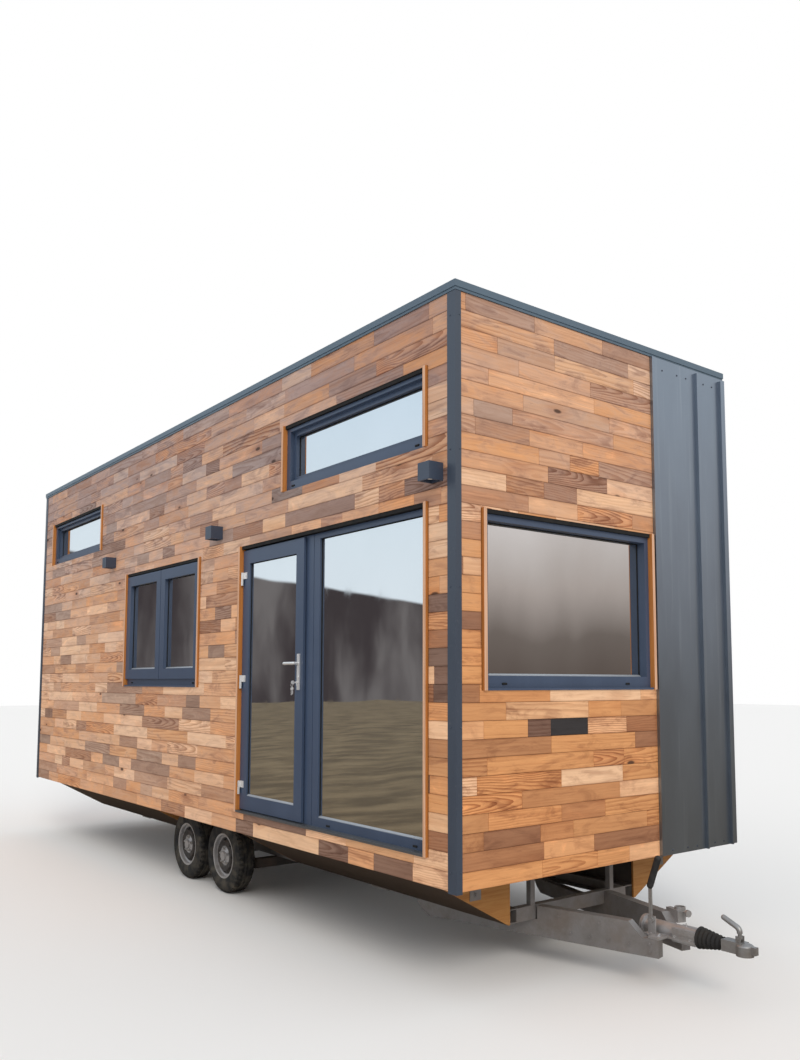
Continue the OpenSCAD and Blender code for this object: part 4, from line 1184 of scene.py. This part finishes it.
def studio_world(scene, daylight):
    """Even light on surfaces, dark screens and a glow that glass and metal mirror, and a white backdrop."""
    world = bpy.data.worlds.new("soft_studio")
    scene.world = world
    world.use_nodes = True
    world.cycles.sampling_method = "NONE"
    sky = Nodes(world.node_tree)
    sky.tree.nodes.clear()
    seen = sky.node("ShaderNodeMath", {"operation": "MAXIMUM"}, {
        0: sky.node("ShaderNodeLightPath", {}, {}, "Is Camera Ray"),
        1: sky.node("ShaderNodeLightPath", {}, {}, "Is Transmission Ray")})
    towards = sky.node("ShaderNodeTexCoord", {}, {}, "Generated")
    level, east = sky.part(towards, "Z"), sky.part(towards, "X")
    # What glass and metal mirror: dark screens under a pale glow beside the house, a warm haze ahead of it
    screens = sky.noise(sky.node("ShaderNodeMapping", {}, {"Vector": towards, "Scale": (16, 16, 4)}), 1.0, 4.0)
    dark = sky.mix(sky.ramp(screens, 0.42, 0.64), (0.060, 0.049, 0.051, 1), (0.190, 0.172, 0.168, 1))
    glow = sky.node("ShaderNodeValToRGB", {"stops": [
        (0.0, (0.90, 0.96, 1.0, 1)), (0.30, (0.84, 0.93, 0.99, 1)), (0.62, (0.74, 0.87, 0.98, 1)),
        (1.0, (0.80, 0.88, 0.96, 1))]}, {"Fac": level * 2}, "Color")
    side = sky.mix(sky.ramp(level + east * 0.28 + 0.133, -0.002, 0.002), dark, glow)
    ahead = sky.node("ShaderNodeValToRGB", {"stops": [
        (0.0, (0.13, 0.10, 0.085, 1)), (0.10, (0.19, 0.155, 0.135, 1)), (0.21, (0.49, 0.42, 0.38, 1)),
        (0.42, (0.86, 0.80, 0.77, 1)), (0.56, (0.94, 0.99, 1.0, 1)), (1.0, (0.95, 1.0, 1.0, 1))]}, {
        "Fac": level * 2 + (screens - 0.5) * 0.12}, "Color")
    mirror = sky.mix(sky.ramp(east, 0.30, 0.55), side, ahead)
    # Even light on surfaces, and plain white where the camera sees past the floor
    even = sky.node("ShaderNodeBackground", {}, {"Color": (0.97, 0.985, 1.0, 1), "Strength": daylight})
    shown = sky.node("ShaderNodeBackground", {}, {"Color": mirror, "Strength": 1.0})
    white = sky.node("ShaderNodeBackground", {}, {"Color": (1, 1, 1, 1), "Strength": 1.0})
    lit = sky.node("ShaderNodeMixShader", {}, {
        0: sky.node("ShaderNodeLightPath", {}, {}, "Is Glossy Ray"), 1: even, 2: shown})
    sky.node("ShaderNodeOutputWorld", {}, {
        "Surface": sky.node("ShaderNodeMixShader", {}, {0: seen, 1: lit, 2: white})})


def studio_lamp(scene, strength):
    """A broad warm light from the front corner of the door side."""
    lamp = bpy.data.lights.new("soft_key", "SUN")
    lamp.energy = strength
    lamp.angle = math.radians(24)
    lamp.color = (1.0, 0.93, 0.84)
    key = bpy.data.objects.new("soft_key", lamp)
    key.rotation_euler = Vector((-0.80, 0.42, -0.62)).to_track_quat("-Z", "Y").to_euler()
    scene.collection.objects.link(key)


def studio_camera(scene, setup):
    """The camera at the photograph's view."""
    lens = bpy.data.cameras.new("camera")
    lens.sensor_width = 36.0
    lens.lens = setup.lens
    lens.shift_x = setup.shift_x
    lens.shift_y = setup.shift_y
    lens.clip_end = 300
    camera = bpy.data.objects.new("camera", lens)
    camera.location = at(*STAND)
    heading = Vector((
        math.cos(setup.yaw) * math.cos(setup.pitch),
        math.sin(setup.yaw) * math.cos(setup.pitch),
        math.sin(setup.pitch)))
    aim = heading.to_track_quat("-Z", "Y") @ Quaternion((0, 0, 1), setup.roll)
    camera.rotation_euler = aim.to_euler()
    scene.collection.objects.link(camera)
    scene.camera = camera


class HOUSE_OT_studio(bpy.types.Operator):
    """Sets the floor, the light and the camera"""
    bl_idname = "house.studio"
    bl_label = "Studio"

    def execute(self, context):
        scene = context.scene
        setup = scene.studio_settings
        studio_floor(scene)
        studio_world(scene, setup.daylight)
        studio_lamp(scene, setup.key)
        studio_camera(scene, setup)
        scene.view_settings.view_transform = "Standard"
        return {"FINISHED"}


OPERATORS = (
    HOUSE_OT_side_boards, HOUSE_OT_end_boards, HOUSE_OT_sheet_metal, HOUSE_OT_openings, HOUSE_OT_glazing,
    HOUSE_OT_door_lock, HOUSE_OT_lamps, HOUSE_OT_chassis, HOUSE_OT_wheels, HOUSE_OT_coupling, HOUSE_OT_studio)


class HOUSE_PT_panel(bpy.types.Panel):
    """Lists the house's pieces in the sidebar"""
    bl_label = "Tiny House"
    bl_idname = "HOUSE_PT_panel"
    bl_space_type = "VIEW_3D"
    bl_region_type = "UI"
    bl_category = "Tiny House"

    def draw(self, context):
        scene = context.scene
        for group in (scene.house_sizes, scene.house_colours, scene.studio_settings):
            for name in group.bl_rna.properties.keys():
                if name not in ("rna_type", "name"):
                    self.layout.prop(group, name)
        for operator in OPERATORS:
            self.layout.operator(operator.bl_idname)


GROUPS = (HouseSizes, HouseColours, StudioSettings)


def register():
    """Registers the classes and their settings."""
    for item in GROUPS + OPERATORS + (HOUSE_PT_panel,):
        bpy.utils.register_class(item)
    bpy.types.Scene.house_sizes = bpy.props.PointerProperty(type=HouseSizes)
    bpy.types.Scene.house_colours = bpy.props.PointerProperty(type=HouseColours)
    bpy.types.Scene.studio_settings = bpy.props.PointerProperty(type=StudioSettings)


def unregister():
    """Removes the settings and the classes."""
    del bpy.types.Scene.house_sizes
    del bpy.types.Scene.house_colours
    del bpy.types.Scene.studio_settings
    for item in reversed(GROUPS + OPERATORS + (HOUSE_PT_panel,)):
        bpy.utils.unregister_class(item)


def main():
    register()
    make_materials()
    bpy.ops.house.side_boards()
    bpy.ops.house.end_boards()
    bpy.ops.house.sheet_metal()
    bpy.ops.house.openings()
    bpy.ops.house.glazing()
    bpy.ops.house.door_lock()
    bpy.ops.house.lamps()
    bpy.ops.house.chassis()
    bpy.ops.house.wheels()
    bpy.ops.house.coupling()
    bpy.ops.house.studio()


if __name__ == "__main__":
    main()
